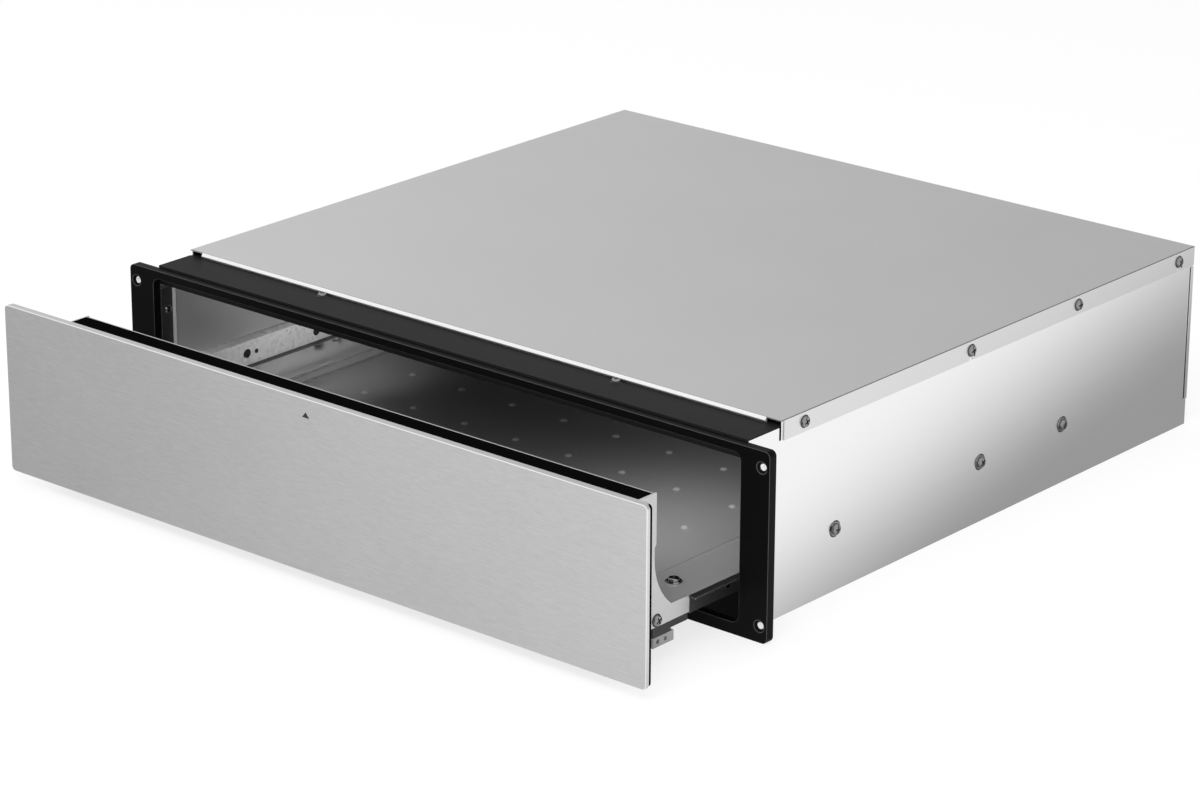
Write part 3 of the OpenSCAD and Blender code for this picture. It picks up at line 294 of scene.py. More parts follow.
# Edge colours paint light on rounded faces: lighter on front_steel, floor_steel, runner_dark, frame_black,
# inner_grey and inner_dark as painted highlights, darker on cover_sheet as a painted dark reflection along
# its bends
LOOKS = {
    "front_steel": (sheet_metal, dict(level=0.66, stretch=(130, 1500, 1500), depth=0.35, rough=0.36,
                                      rough_depth=0.12, cloud=0.08, bump=0.1, edge=grey(0.95), mark=MARK)),
    "zinc_sheet": (sheet_metal, dict(level=0.84, stretch=(160, 5, 160), depth=0.03, rough=0.2,
                                     rough_depth=0.04, cloud=0.03)),
    "cover_sheet": (sheet_metal, dict(level=0.73, stretch=ROLLED, depth=0.04, rough=0.36,
                                      rough_depth=0.05, cloud=0.03, edge=grey(0.25))),
    "bright_steel": (sheet_metal, dict(level=0.58, stretch=(90, 90, 700), depth=0.08, rough=0.3,
                                       metallic=0.7)),
    "floor_steel": (sheet_metal, dict(level=0.62, stretch=(300, 20, 300), depth=0.05, rough=0.16,
                                      rough_depth=0.05, cloud=0.05, bump=0.03, metallic=0.6,
                                      edge=grey(0.95))),
    "runner_dark": (sheet_metal, dict(level=0.025, stretch=(400, 40, 400), depth=0.2, rough=0.35,
                                      metallic=0.3, edge=grey(0.8))),
    "screw_steel": (sheet_metal, dict(level=0.27, stretch=(900, 900, 900), depth=0.15, rough=0.12)),
    "rail_steel": (zinc_coated, dict(level=0.95, crystals=330.0, depth=0.2, rough=0.38, metallic=0.1)),
    "heater_tube": (sheet_metal, dict(level=0.16, stretch=(500, 500, 500), depth=0.4, rough=0.5)),
    "motor_dark": (coated, dict(colour=grey(0.05), rough=0.45, metallic=0.4)),
    "door_black": (coated, dict(colour=grey(0.003), rough=0.5, shine=0.0)),
    "frame_black": (coated, dict(colour=grey(0.003), rough=0.4, shine=0.05, edge=grey(0.07))),
    "hood_charcoal": (coated, dict(colour=grey(0.013), rough=0.45, shine=0.04)),
    "inner_grey": (coated, dict(colour=grey(0.52), rough=0.3, metallic=0.3, edge=grey(0.95))),
    "inner_dark": (coated, dict(colour=grey(0.03), rough=0.4, metallic=0.3, edge=grey(0.6))),
    "black_plastic": (coated, dict(colour=grey(0.015), rough=0.45)),
    "white_plastic": (coated, dict(colour=(0.8, 0.8, 0.78), rough=0.4)),
    "grey_plastic": (coated, dict(colour=grey(0.3), rough=0.45)),
    "red_plastic": (coated, dict(colour=(0.5, 0.03, 0.02), rough=0.3)),
    "amber_lens": (coated, dict(colour=(0.8, 0.3, 0.03), rough=0.2)),
    "wool": (coated, dict(colour=(0.72, 0.64, 0.42), rough=0.95, pebbles=500.0, bump=1.0, depth=0.5)),
    "ceramic": (coated, dict(colour=(0.82, 0.8, 0.72), rough=0.5)),
}
FINISH = {slot: make(slot, **look) for slot, (make, look) in LOOKS.items()}
# Brighter copy of the cover's finish for the front hem's rolled face: a painted highlight
HEM_HIGHLIGHT_STEEL = sheet_metal("hem_painted_highlight", level=0.86, stretch=ROLLED, depth=0.04, rough=0.3, rough_depth=0.05,
                        cloud=0.03, metallic=0.8)


# Pieces
def add_piece(name, mesh, slot, body, stands_for=()):
    piece = bpy.data.objects.new(name, mesh)
    bpy.context.scene.collection.objects.link(piece)
    if not mesh.materials:
        mesh.materials.append(FINISH[slot])
    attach(piece, body)
    if stands_for:
        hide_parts(*stands_for)
    return piece


def to_mesh(name, made):
    mesh = bpy.data.meshes.new(name)
    made.to_mesh(mesh)
    made.free()
    return mesh


def merged(name):
    made = bmesh.new()
    made.from_mesh(frame["nodes"][name].data)
    bmesh.ops.remove_doubles(made, verts=made.verts, dist=0.002 * MM)
    return made


SHARP = math.radians(35)


def is_sharp(edge):
    return len(edge.link_faces) == 2 and edge.calc_face_angle(0) > SHARP


def smooth_faces(made):
    for face in made.faces:
        face.smooth = True
    for edge in made.edges:
        edge.smooth = not is_sharp(edge)


# Rounds some edges of a mesh by a width in mm, and gives the new faces a share of the edge colour, which
# paints a highlight or a dark line on them
def round_edges(made, edges, width, segments, edge_paint=1.0):
    layer = made.faces.layers.float.get("edge") or made.faces.layers.float.new("edge")
    cut = bmesh.ops.bevel(made, geom=edges, offset=width * MM, segments=segments, profile=0.5,
                          affect="EDGES", clamp_overlap=True, loop_slide=True)
    for face in cut["faces"]:
        face[layer] = edge_paint


def flat_faces_joined(name):
    made = merged(name)
    bmesh.ops.dissolve_limit(made, angle_limit=math.radians(0.5), verts=made.verts, edges=made.edges)
    made.faces.layers.float.new("edge")
    return made


def finished(name, made, slot, body, stands_for=(), look=None):
    smooth_faces(made)
    mesh = to_mesh(name, made)
    if look:
        mesh.materials.append(look)
    piece = add_piece(name, mesh, slot, body, stands_for)
    piece.modifiers.new("even_normals", "WEIGHTED_NORMAL").keep_sharp = True


# Closes a bar between two rings of as many points each, with its faces outwards
def close_bar(made, first, second):
    faces = [made.faces.new(first), made.faces.new(reversed(second))]
    for i in range(len(first)):
        j = (i + 1) % len(first)
        faces.append(made.faces.new((first[i], second[i], second[j], first[j])))
    bmesh.ops.recalc_face_normals(made, faces=faces)


# Faces of a node that take the edge colour as a painted highlight, besides its round edges: the lit front
# fold of each side liner and the tops of the floor's dimples
def bright_faces(name, made):
    if name in ("liner_left", "liner_right"):
        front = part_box(name)[0].y + 0.5 * MM
        return [face for face in made.faces if face.normal.y < -0.9 and face.calc_center_median().y < front]
    if name == "drawer_floor":
        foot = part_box(name)[0].z
        dimple_low, dimple_high = foot + 1.2 * MM, foot + 2.3 * MM
        return [face for face in made.faces
                if face.normal.z > 0.3 and dimple_low < face.calc_center_median().z < dimple_high]
    return []


# Copy of a CAD node with joined faces and small round edges, which stands for the node; its round edges and
# its painted highlight faces take the finish's edge colour
def edged(name, width, segments=2):
    made = flat_faces_joined(name)
    if width:
        round_edges(made, [edge for edge in made.edges if is_sharp(edge)], width, segments)
    layer = made.faces.layers.float["edge"]
    for face in bright_faces(name, made):
        face[layer] = 1
    finished(name + "_part", made, SLOT_OF[name], BODY_OF[name], [name])


EDGE_WIDTHS = {
    0.7: ["front_frame"],
    0.6: ["front_brackets", "latch_body", "fan_motor", "latch_plunger", "rocker"],
    0.4: ["door_box", "hood", "clips", "rail_left", "rail_right", "terminal_block", "switch_housing",
          "cable_inlet", "thermostat", "striker", "pilot_lamp"],
    0.5: ["runner_left", "runner_right"],
    0.25: ["base_pan", "rear_panel", "wing_left", "wing_right", "corner_bracket_left",
           "corner_bracket_right", "cheek_left", "cheek_right",
           "door_inner_panel", "motor_mount", "thermal_cutout", "air_duct", "drawer_floor"],
    0.15: ["side_wall_left", "side_wall_right", "liner_left", "liner_right", "liner_top", "liner_back",
           "front_axles", "rear_axles", "runner_rivets", "fan_wheel"],
    0.0: ["heating_ring"],
}


# Cover with a bend along each side, and the rolled face of its front hem
def make_cover():
    low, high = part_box("top_cover")
    made = flat_faces_joined("top_cover")
    near, bend_w, rim_w = 0.01 * MM, 0.5, 0.15

    def on_bend(edge):
        return all(abs(abs(vertex.co.x) - high.x) < near and abs(vertex.co.z - high.z) < near
                   for vertex in edge.verts)

    # The bends take the cover's darker edge colour: a painted dark reflection line along each side
    round_edges(made, [edge for edge in made.edges if is_sharp(edge) and on_bend(edge)], bend_w, 4)
    round_edges(made, [edge for edge in made.edges if is_sharp(edge)], rim_w, 1, 0.0)
    finished("top_cover_part", made, SLOT_OF["top_cover"], "case", ["top_cover"])
    hem_high, hem_end, bulge, steps = 3.4 * MM, 12.6 * MM, 1.2 * MM, 12
    face_y, root_y, top_z = low.y + 0.1 * MM, low.y + 0.3 * MM, high.z - 0.1 * MM
    hem = bmesh.new()
    rings = []
    for x in (low.x + hem_end, high.x - hem_end):
        points = []
        for step in range(steps + 1):
            down = (1 - math.cos(math.pi * step / steps)) / 2
            points.append((x, face_y - bulge * math.sin(math.pi * down ** 2) ** 0.6, top_z - hem_high * down))
        points += [(x, root_y, top_z - hem_high), (x, root_y, top_z)]
        rings.append([hem.verts.new(point) for point in points])
    close_bar(hem, *rings)
    # The hem's rolled face is in a brighter copy of the cover's finish: a painted highlight
    finished("cover_hem", hem, "cover_sheet", "case", look=HEM_HIGHLIGHT_STEEL)


# Front skin whose rims stop short of its back at both ends, and the black gasket that shows there: the door's
# black core, set so that it paints the shade of the gap behind the rims
def make_front():
    low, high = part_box("front_panel")
    rim_depth, corner_r, edge_w, near = 3.4 * MM, 3.5 * MM, 0.5, 0.01 * MM
    made = flat_faces_joined("front_panel")
    for vertex in made.verts:
        beyond = (abs(vertex.co.x) - (high.x - corner_r)) / corner_r
        if vertex.co.y > high.y - near and beyond > 0:
            vertex.co.y -= (high.y - low.y - rim_depth) * min(1, beyond * 3)
    # The rims' rounded faces take the front's light edge colour: a painted highlight
    round_edges(made, [edge for edge in made.edges if is_sharp(edge)], edge_w, 3)
    finished("front_panel_part", made, SLOT_OF["front_panel"], "drawer", ["front_panel"])
    insets = (0.7 * MM, 2.6 * MM)
    depths = (low.y + 1.6 * MM, high.y - 0.1 * MM)
    rounded_ring("front_gap_shade", low, high, insets, corner_r, depths, "door_black", "drawer")


# Points of a rectangle in X and Z with round corners, set in from a box
def rounded_outline(low, high, inset, corner_r, steps=6):
    r = max(corner_r - inset, 0.2 * MM)
    points = []
    for side_x, side_z, start in ((1, 1, 0), (-1, 1, 90), (-1, -1, 180), (1, -1, 270)):
        centre_x = (high.x if side_x > 0 else low.x) - side_x * (inset + r)
        centre_z = (high.z if side_z > 0 else low.z) - side_z * (inset + r)
        for step in range(steps + 1):
            turn = math.radians(start + 90 * step / steps)
            points.append((centre_x + r * math.cos(turn), centre_z + r * math.sin(turn)))
    return points


# Flat ring between two insets of a box, from one depth to another
def rounded_ring(name, low, high, insets, corner_r, depths, slot, body):
    made = bmesh.new()
    loops = []
    for side, end in ((0, 0), (0, 1), (1, 1), (1, 0)):
        inset, depth = insets[side], depths[end]
        outline = rounded_outline(low, high, inset, corner_r)
        loops.append([made.verts.new((x, depth, z)) for x, z in outline])
    for first, second in zip(loops, loops[1:] + loops[:1]):
        for i in range(len(first)):
            j = (i + 1) % len(first)
            made.faces.new((first[i], first[j], second[j], second[i]))
    bmesh.ops.recalc_face_normals(made, faces=made.faces)
    finished(name, made, slot, body)


# Boxes of the separate solids of one CAD node
def solids(name):
    made = merged(name)
    waiting = set(made.verts)
    boxes = []
    while waiting:
        stack = [waiting.pop()]
        points = []
        while stack:
            vertex = stack.pop()
            points.append(vertex.co.copy())
            for edge in vertex.link_edges:
                other = edge.other_vert(vertex)
                if other in waiting:
                    waiting.remove(other)
                    stack.append(other)
        boxes.append((Vector(map(min, *points)), Vector(map(max, *points))))
    made.free()
    return sorted(boxes, key=lambda box: [round(value, 5) for value in box[0]])


# Attribute that the points of a mesh carry
def carried(tree, kind, name):
    return first_of(tree, "GeometryNodeInputNamedAttribute", {"data_type": kind}, {"Name": name})


def raised(tree, geometry, height):
    up = joined_xyz(tree, {2: height})
    return first_of(tree, "GeometryNodeTransform", (), {"Geometry": geometry, "Translation": up})


def together(tree, *parts):
    made = node(tree, "GeometryNodeJoinGeometry")
    for part in parts:
        tree.links.new(part, made.inputs[0])
    return made.outputs[0]


# Real copies of a shape on the points that a tree is given, in one material
def copies(tree, given, shape, rotation, material):
    placed = first_of(tree, "GeometryNodeInstanceOnPoints", (), {
        "Points": given["Points"], "Instance": shape, "Rotation": rotation})
    real = first_of(tree, "GeometryNodeRealizeInstances", (), {0: placed})
    return first_of(tree, "GeometryNodeSetMaterial", (), {"Geometry": real, "Material": given[material]})


# Pan head screws on the points of a mesh: the points carry the way each screw looks and how far it is turned
def screw_tree():
    tree, given, out = new_group("pan_head_screws", "GeometryNodeTree", [
        ("Points", "NodeSocketGeometry", None), ("Head Radius", FLOAT, 0.004), ("Head Height", FLOAT, 0.0022),
        ("Washer Radius", FLOAT, 0.0054), ("Washer Thickness", FLOAT, 0.0), ("Cross Length", FLOAT, 0.0046),
        ("Cross Width", FLOAT, 0.001), ("Cross Depth", FLOAT, 0.0013), ("Shank Radius", FLOAT, 0.0018),
        ("Shank Length", FLOAT, 0.006), ("Steel", "NodeSocketMaterial", None)],
        [("Screws", "NodeSocketGeometry")])
    around, rows, shank_sides = 32, 9, 16
    side_power, top_power = 0.45, 0.6
    washer_top, least_washer, weld = 0.95, 0.00001, 0.000002
    grid = first_of(tree, "GeometryNodeMeshGrid", (), {
        "Size X": 1, "Size Y": 1, "Vertices X": around + 1, "Vertices Y": rows})
    place = split_xyz(tree, first_of(tree, "GeometryNodeInputPosition"))
    turn = maths(tree, "MULTIPLY", maths(tree, "ADD", place[0], 0.5), 2 * math.pi)
    climb = maths(tree, "MULTIPLY", maths(tree, "ADD", place[1], 0.5), math.pi / 2)
    level = maths(tree, "MAXIMUM", maths(tree, "COSINE", climb), 0.0)
    reach = maths(tree, "MULTIPLY", maths(tree, "POWER", level, side_power), given["Head Radius"])
    rise = maths(tree, "POWER", maths(tree, "SINE", climb), top_power)
    rise = maths(tree, "MULTIPLY", rise, given["Head Height"])
    spot = joined_xyz(tree, {
        0: maths(tree, "MULTIPLY", reach, maths(tree, "COSINE", turn)),
        1: maths(tree, "MULTIPLY", reach, maths(tree, "SINE", turn)),
        2: maths(tree, "ADD", rise, given["Washer Thickness"])})
    dome = first_of(tree, "GeometryNodeSetPosition", (), {"Geometry": grid, "Position": spot})
    foot = first_of(tree, "GeometryNodeMeshCircle", {"fill_type": "NGON"}, {
        "Vertices": around, "Radius": given["Head Radius"]})
    foot = first_of(tree, "GeometryNodeFlipFaces", (), {"Mesh": foot})
    foot = raised(tree, foot, given["Washer Thickness"])
    head = first_of(tree, "GeometryNodeMergeByDistance", (), {
        "Geometry": together(tree, dome, foot), "Distance": weld})
    top = maths(tree, "ADD", given["Head Height"], given["Washer Thickness"])
    deep = maths(tree, "MULTIPLY", given["Cross Depth"], 2.0)
    for length, width in (("Cross Length", "Cross Width"), ("Cross Width", "Cross Length")):
        size = joined_xyz(tree, {0: given[length], 1: given[width], 2: deep})
        cutter = raised(tree, first_of(tree, "GeometryNodeMeshCube", (), {"Size": size}), top)
        head = first_of(tree, "GeometryNodeMeshBoolean", {"operation": "DIFFERENCE", "solver": "EXACT"}, {
            "Mesh 1": head, "Mesh 2": cutter})
    shank = first_of(tree, "GeometryNodeMeshCylinder", (), {
        "Vertices": shank_sides, "Radius": given["Shank Radius"], "Depth": given["Shank Length"]})
    shank = raised(tree, shank, maths(tree, "MULTIPLY", given["Shank Length"], -0.5))
    rim = maths(tree, "MULTIPLY", given["Washer Radius"], washer_top)
    washer = first_of(tree, "GeometryNodeMeshCone", (), {
        "Vertices": around, "Radius Top": rim, "Radius Bottom": given["Washer Radius"],
        "Depth": given["Washer Thickness"]})
    washed = maths(tree, "GREATER_THAN", given["Washer Thickness"], least_washer)
    washer = first_of(tree, "GeometryNodeSwitch", {"input_type": "GEOMETRY"}, {
        "Switch": washed, "True": washer})
    smooth = first_of(tree, "GeometryNodeSetShadeSmooth", (), {
        "Geometry": together(tree, head, shank, washer), "Shade Smooth": True})
    sharp = maths(tree, "GREATER_THAN", first_of(tree, "GeometryNodeInputMeshEdgeAngle"), SHARP)
    screw = first_of(tree, "GeometryNodeSetShadeSmooth", {"domain": "EDGE"}, {
        "Geometry": smooth, "Selection": sharp, "Shade Smooth": False})
    aim = carried(tree, "FLOAT_VECTOR", "aim")
    looking = first_of(tree, "FunctionNodeAlignRotationToVector", {"axis": "Z"}, {"Vector": aim})
    turned_by = first_of(tree, "FunctionNodeAxisAngleToRotation", (), {
        "Axis": (0, 0, 1), "Angle": carried(tree, "FLOAT", "turn")})
    facing = first_of(tree, "FunctionNodeRotateRotation", {"rotation_space": "LOCAL"}, {
        0: looking, 1: turned_by})
    tree.links.new(copies(tree, given, screw, facing, "Steel"), out["Screws"])
    return tree


def tree_inputs(tree):
    return {item.name: item.identifier for item in tree.interface.items_tree if item.in_out == "INPUT"}


# Runs a tree on points and returns the plain mesh that it makes
def grown(name, tree, points, attributes, values):
    mesh = bpy.data.meshes.new(name)
    mesh.from_pydata(points, [], [])
    for label, kind, key, numbers in attributes:
        mesh.attributes.new(label, kind, "POINT").data.foreach_set(key, numbers)
    carrier = bpy.data.objects.new(name + "_points", mesh)
    bpy.context.scene.collection.objects.link(carrier)
    maker = carrier.modifiers.new(name, "NODES")
    maker.node_group = tree
    keys = tree_inputs(tree)
    for label, value in values.items():
        maker[keys[label]] = value
    bpy.context.view_layer.update()
    seen = carrier.evaluated_get(bpy.context.evaluated_depsgraph_get())
    plain = bpy.data.meshes.new_from_object(seen)
    plain.name = name
    carrier.modifiers.remove(maker)
    bpy.data.objects.remove(carrier)
    return plain


SCREWS = screw_tree()
HEAD_H = 2.2 * MM
WASHER_T = 0.8 * MM
WASHER_R_MM = 5.4
SHADOW_RING_SINK = 0.02 * MM
CROSS_LENGTH, CROSS_WIDTH = 1.3, 0.32


# Adds a turned shape to a mesh that holds several
def add_turned(made, profile, centre, aim, sides):
    one = to_mesh("turned", turned_mesh(profile, centre, aim, sides))
    made.from_mesh(one)
    bpy.data.meshes.remove(one)


# Dark plate in the end of the keyhole slot in the cover's flange, which shows beside a screw's head: painted
# shade where the open slot shows
def add_slot_end(made, point, aim):
    half_w, half_l, thick, steps = 0.8 * MM, 2.6 * MM, 0.1 * MM, 8
    middle = point + Vector((0, 3.9 * MM, -2.9 * MM))
    outline = []
    for side in (1, -1):
        for step in range(steps + 1):
            turn = math.pi * step / steps
            y = half_w * math.cos(turn) * side
            z = side * (half_l - half_w + half_w * math.sin(turn))
            outline.append(middle + Vector((0, y, z)))
    close_bar(made, *([made.verts.new(spot + aim * rise) for spot in outline] for rise in (0, thick)))


# Dark ring round each screw, where its head or washer stands on the sheet: a painted shadow at the screw's
# foot
def make_seats(name, places, rim, body, slots=()):
    shadow_rings = bmesh.new()
    for i in slots:
        add_slot_end(shadow_rings, *places[i])
    inner, bevel, thick = rim - 1.2, rim - 0.15, 0.1
    profile = [(inner, 0), (rim, 0), (bevel, thick), (inner, thick), (inner, 0)]
    for point, aim in places:
        add_turned(shadow_rings, profile, point, aim, 24)
    add_piece(name, to_mesh(name, shadow_rings), "motor_dark", body)


# Screws of one CAD node, each on the place and with the look of its solid
def screw_set(name, aim_of, head_r=4.0, washer=0.0, seed=1, slots=(), shadow_reach=0.7):
    turns = random.Random(seed)
    points, aims, angles, shadow_rings = [], [], [], []
    for low, high in solids(name):
        middle = (low + high) / 2
        aim = Vector(aim_of(middle))
        half = abs((high - low).dot(aim)) / 2
        shank = 2 * half - HEAD_H - washer
        point = middle + aim * half - aim * (HEAD_H + washer)
        points.append(point)
        shadow_rings.append((point - aim * SHADOW_RING_SINK, aim))
        aims += list(aim)
        angles.append(turns.uniform(0, math.pi))
    values = {"Head Radius": head_r * MM, "Head Height": HEAD_H, "Washer Thickness": washer,
              "Cross Length": head_r * CROSS_LENGTH * MM, "Cross Width": head_r * CROSS_WIDTH * MM,
              "Shank Length": shank, "Steel": FINISH[SLOT_OF[name]]}
    # Each screw also gets a dark ring at its foot, a painted shadow
    rim = (head_r if washer == 0 else WASHER_R_MM) + shadow_reach
    make_seats(name + "_shadow_rings", shadow_rings, rim, BODY_OF[name], slots)
    attributes = [("aim", "FLOAT_VECTOR", "vector", aims), ("turn", "FLOAT", "value", angles)]
    mesh = grown(name + "_set", SCREWS, points, attributes, values)
    add_piece(name + "_set", mesh, SLOT_OF[name], BODY_OF[name], [name])


def outwards(middle):
    return (math.copysign(1, middle.x), 0, 0)


def inwards(middle):
    return (-math.copysign(1, middle.x), 0, 0)


def upwards(middle):
    return (0, 0, 1)


def rearwards(middle):
    return (0, 1, 0)


def make_screws():
    screw_set("cover_screws", outwards, seed=3, slots=(1, 3, 5, 7))
    screw_set("rail_screws", outwards, washer=WASHER_T, seed=5)
    screw_set("wing_screws", outwards, seed=7)
    screw_set("cheek_screws", inwards, head_r=3.2, seed=9)
    screw_set("hood_screws", upwards, head_r=3.2, seed=11)
    screw_set("floor_screws", upwards, washer=WASHER_T, seed=13)
    screw_set("rear_screws", rearwards, seed=15, shadow_reach=0.2)


# Closed ring from a profile of (radius, length) pairs in mm, with its foot at centre and its axis along aim
def turned_mesh(profile, centre, aim, sides=48):
    made = bmesh.new()
    rings = []
    for radius, along in profile:
        if radius == 0:
            rings.append([made.verts.new((0, 0, along * MM))])
            continue
        rings.append([made.verts.new((radius * MM * math.cos(2 * math.pi * i / sides),
                                      radius * MM * math.sin(2 * math.pi * i / sides), along * MM))
                      for i in range(sides)])
    for first, second in zip(rings, rings[1:]):
        for i in range(sides):
            j = (i + 1) % sides
            if len(first) == 1:
                made.faces.new((first[0], second[j], second[i]))
            elif len(second) == 1:
                made.faces.new((first[i], first[j], second[0]))
            else:
                made.faces.new((first[i], first[j], second[j], second[i]))
    place = Vector(aim).to_track_quat("Z", "Y").to_matrix().to_4x4()
    place.translation = centre
    made.transform(place)
    bmesh.ops.remove_doubles(made, verts=made.verts, dist=0.001 * MM)
    bmesh.ops.recalc_face_normals(made, faces=made.faces)
    smooth_faces(made)
    return made


def turned(name, profile, centre, aim, slot, body, stands_for=(), sides=48):
    mesh = to_mesh(name, turned_mesh(profile, centre, aim, sides))
    add_piece(name, mesh, slot, body, stands_for)


# Bare metal wall of each fixing hole in the frame
def make_hole_walls():
    front_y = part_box("front_frame")[0].y
    hole_x, hole_low, hole_high = 291.5 * MM, 11.7 * MM, 122.7 * MM
    outer, inner, near, far = 2.4, 2.25, 1.8, 6.9
    profile = [(outer, near), (outer, far), (inner, far), (inner, near), (outer, near)]
    walls = bmesh.new()
    for x in (-hole_x, hole_x):
        for z in (hole_low, hole_high):
            add_turned(walls, profile, Vector((x, front_y, z)), (0, 1, 0), 32)
    add_piece("fixing_hole_walls", to_mesh("fixing_hole_walls", walls), "rail_steel", "case")


# Rolled upper edge and lower fillet of the floor's recess, along both sides, as strips with corners in mm
def make_recess_edges():
    recess_x, recess_z, rim_z, gap = 224, 31, 38, 1 * MM
    along_foot = [v.co.y for v in frame["nodes"]["drawer_floor"].data.vertices
                  if abs(v.co.z / MM - recess_z) < 0.6 and abs(abs(v.co.x / MM) - recess_x) < 1.5]
    ends = (min(along_foot) + gap, max(along_foot) - gap)
    upper = [(-0.6, -0.9), (0.8, -0.9), (0.8, 0.05), (0.2, 0.2), (-0.4, -0.1)]
    lower = [(0.1, -0.2), (0.1, 1.2), (-0.6, 0.5), (-1.3, 0.1), (-1.3, -0.2)]
    made = bmesh.new()
    for side in (-1, 1):
        for z, profile in ((rim_z, upper), (recess_z, lower)):
            corners = [(side * (recess_x + out) * MM, (z + up) * MM) for out, up in profile]
            close_bar(made, *([made.verts.new((x, y, height)) for x, height in corners] for y in ends))
    add_piece("recess_edges", to_mesh("recess_edges", made), "bright_steel", "drawer")


# Dark discs on the punched holes of the slides and of the floor's rim: painted shade inside the holes
def make_punched_holes():
    rail_t, thick = 1.6 * MM, 0.12
    web_x = -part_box("rail_left")[0].x - rail_t
    rim_x, rim_z = 0.2598, 0.03798
    in_web = [(web_x, -0.1746, 0.0459), (web_x, -0.1006, 0.0443)]
    in_rim = [(rim_x, y, rim_z) for y in (-0.112, -0.094, -0.082)]
    for name, r, spots, sideways, body in (
            ("slide_hole_shade", 3.4, in_web, True, "case"),
            ("rim_hole_shade", 2.3, in_rim, False, "drawer")):
        profile = [(0, 0), (r, 0), (r, thick), (0, thick)]
        made = bmesh.new()
        for side in (-1, 1):
            aim = (-side, 0, 0) if sideways else (0, 0, 1)
            for x, y, z in spots:
                add_turned(made, profile, Vector((side * x, y, z)), aim, 24)
        add_piece(name, to_mesh(name, made), "motor_dark", body)


# Nylon rollers with a groove round the tread and sunk flanks
def make_rollers():
    bore_r, sunk, rounding = 2.55, 0.7, 0.6
    groove_half, groove_foot, groove_deep = 0.7, 0.4, 0.5
    for name in ("front_roller_left", "front_roller_right", "rear_roller_left", "rear_roller_right"):
        low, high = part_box(name)
        half = (high.x - low.x) / 2 / MM
        r = (high.z - low.z) / 2 / MM
        one_side = [(bore_r, -half), (r * 0.42, -half), (r * 0.46, sunk - half), (r * 0.78, sunk - half),
                    (r * 0.82, -half), (r - rounding, -half), (r, rounding - half), (r, -groove_half),
                    (r - groove_deep, -groove_foot)]
        other_side = [(radius, -along) for radius, along in reversed(one_side)]
        turned(name + "_wheel", one_side + other_side + one_side[:1], (low + high) / 2, (1, 0, 0),
               SLOT_OF[name], BODY_OF[name], [name])


# Bars of one size on the points of a mesh, each turned about Y: the knob's grips and its dial's marks
def bar_tree():
    tree, given, out = new_group("bars_round_y", "GeometryNodeTree", [
        ("Points", "NodeSocketGeometry", None), ("Bar Size", VECTOR, (0.001, 0.001, 0.001)),
        ("Finish", "NodeSocketMaterial", None)],
        [("Bars", "NodeSocketGeometry")])
    bar = first_of(tree, "GeometryNodeMeshCube", (), {"Size": given["Bar Size"]})
    turned_by = first_of(tree, "FunctionNodeAxisAngleToRotation", (), {
        "Axis": (0, 1, 0), "Angle": carried(tree, "FLOAT", "turn")})
    tree.links.new(copies(tree, given, bar, turned_by, "Finish"), out["Bars"])
    return tree


BARS = bar_tree()


# Way from the centre at an angle that runs clockwise from the top for someone who looks along -Y
def clock_way(turn):
    return Vector((-math.sin(turn), 0, math.cos(turn)))


def bars_round(name, centre, radius, angles, size, slot, body):
    points = [centre + clock_way(turn) * radius for turn in angles]
    values = {"Bar Size": size, "Finish": FINISH[slot]}
    mesh = grown(name, BARS, points, [("turn", "FLOAT", "value", [-turn for turn in angles])], values)
    add_piece(name, mesh, slot, body)


# Knob with a skirt, a grip all round and a pale pointer
def make_knob():
    low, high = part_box("thermostat_knob")
    foot = Vector(((low.x + high.x) / 2, low.y, (low.z + high.z) / 2))
    bore_r, bore_h, height = 3.2, 10.6, 14
    grips, grip_r, grip_y, pointer_r = 36, 14.4 * MM, 8 * MM, 8.5 * MM
    profile = [(0, bore_h), (bore_r, bore_h), (bore_r, 0), (16.6, 0), (17, 0.4), (17, 2.2), (16.2, 3),
               (14.8, 3.4), (14.1, 12.8), (13.4, 13.7), (12.4, height), (0, height)]
    turned("knob_cap", profile, foot, (0, 1, 0), "black_plastic", "knob", ["thermostat_knob"], 72)
    middle = foot + Vector((0, grip_y, 0))
    bars_round("knob_grips", middle, grip_r, [2 * math.pi * i / grips for i in range(grips)],
               (1.1 * MM, 9 * MM, 1.2 * MM), "black_plastic", "knob")
    top = foot + Vector((0, height * MM, 0))
    bars_round("knob_pointer", top, pointer_r, [0], (1.6 * MM, 1.2 * MM, 8 * MM), "white_plastic", "knob")
    return foot


# One number of the dial as a mesh, flat on the panel
def number_mesh(text, place):
    curve = bpy.data.curves.new("number", "FONT")
    curve.body = text
    curve.size = 5 * MM
    curve.extrude = 0.05 * MM
    curve.align_x = "CENTER"
    curve.align_y = "CENTER"
    carrier = bpy.data.objects.new("number", curve)
    bpy.context.scene.collection.objects.link(carrier)
    bpy.context.view_layer.update()
    shape = bpy.data.meshes.new_from_object(carrier.evaluated_get(bpy.context.evaluated_depsgraph_get()))
    facing = Matrix(((-1, 0, 0), (0, 0, 1), (0, 1, 0))).transposed().to_4x4()
    facing.translation = place
    shape.transform(facing)
    bpy.data.objects.remove(carrier)
    return shape


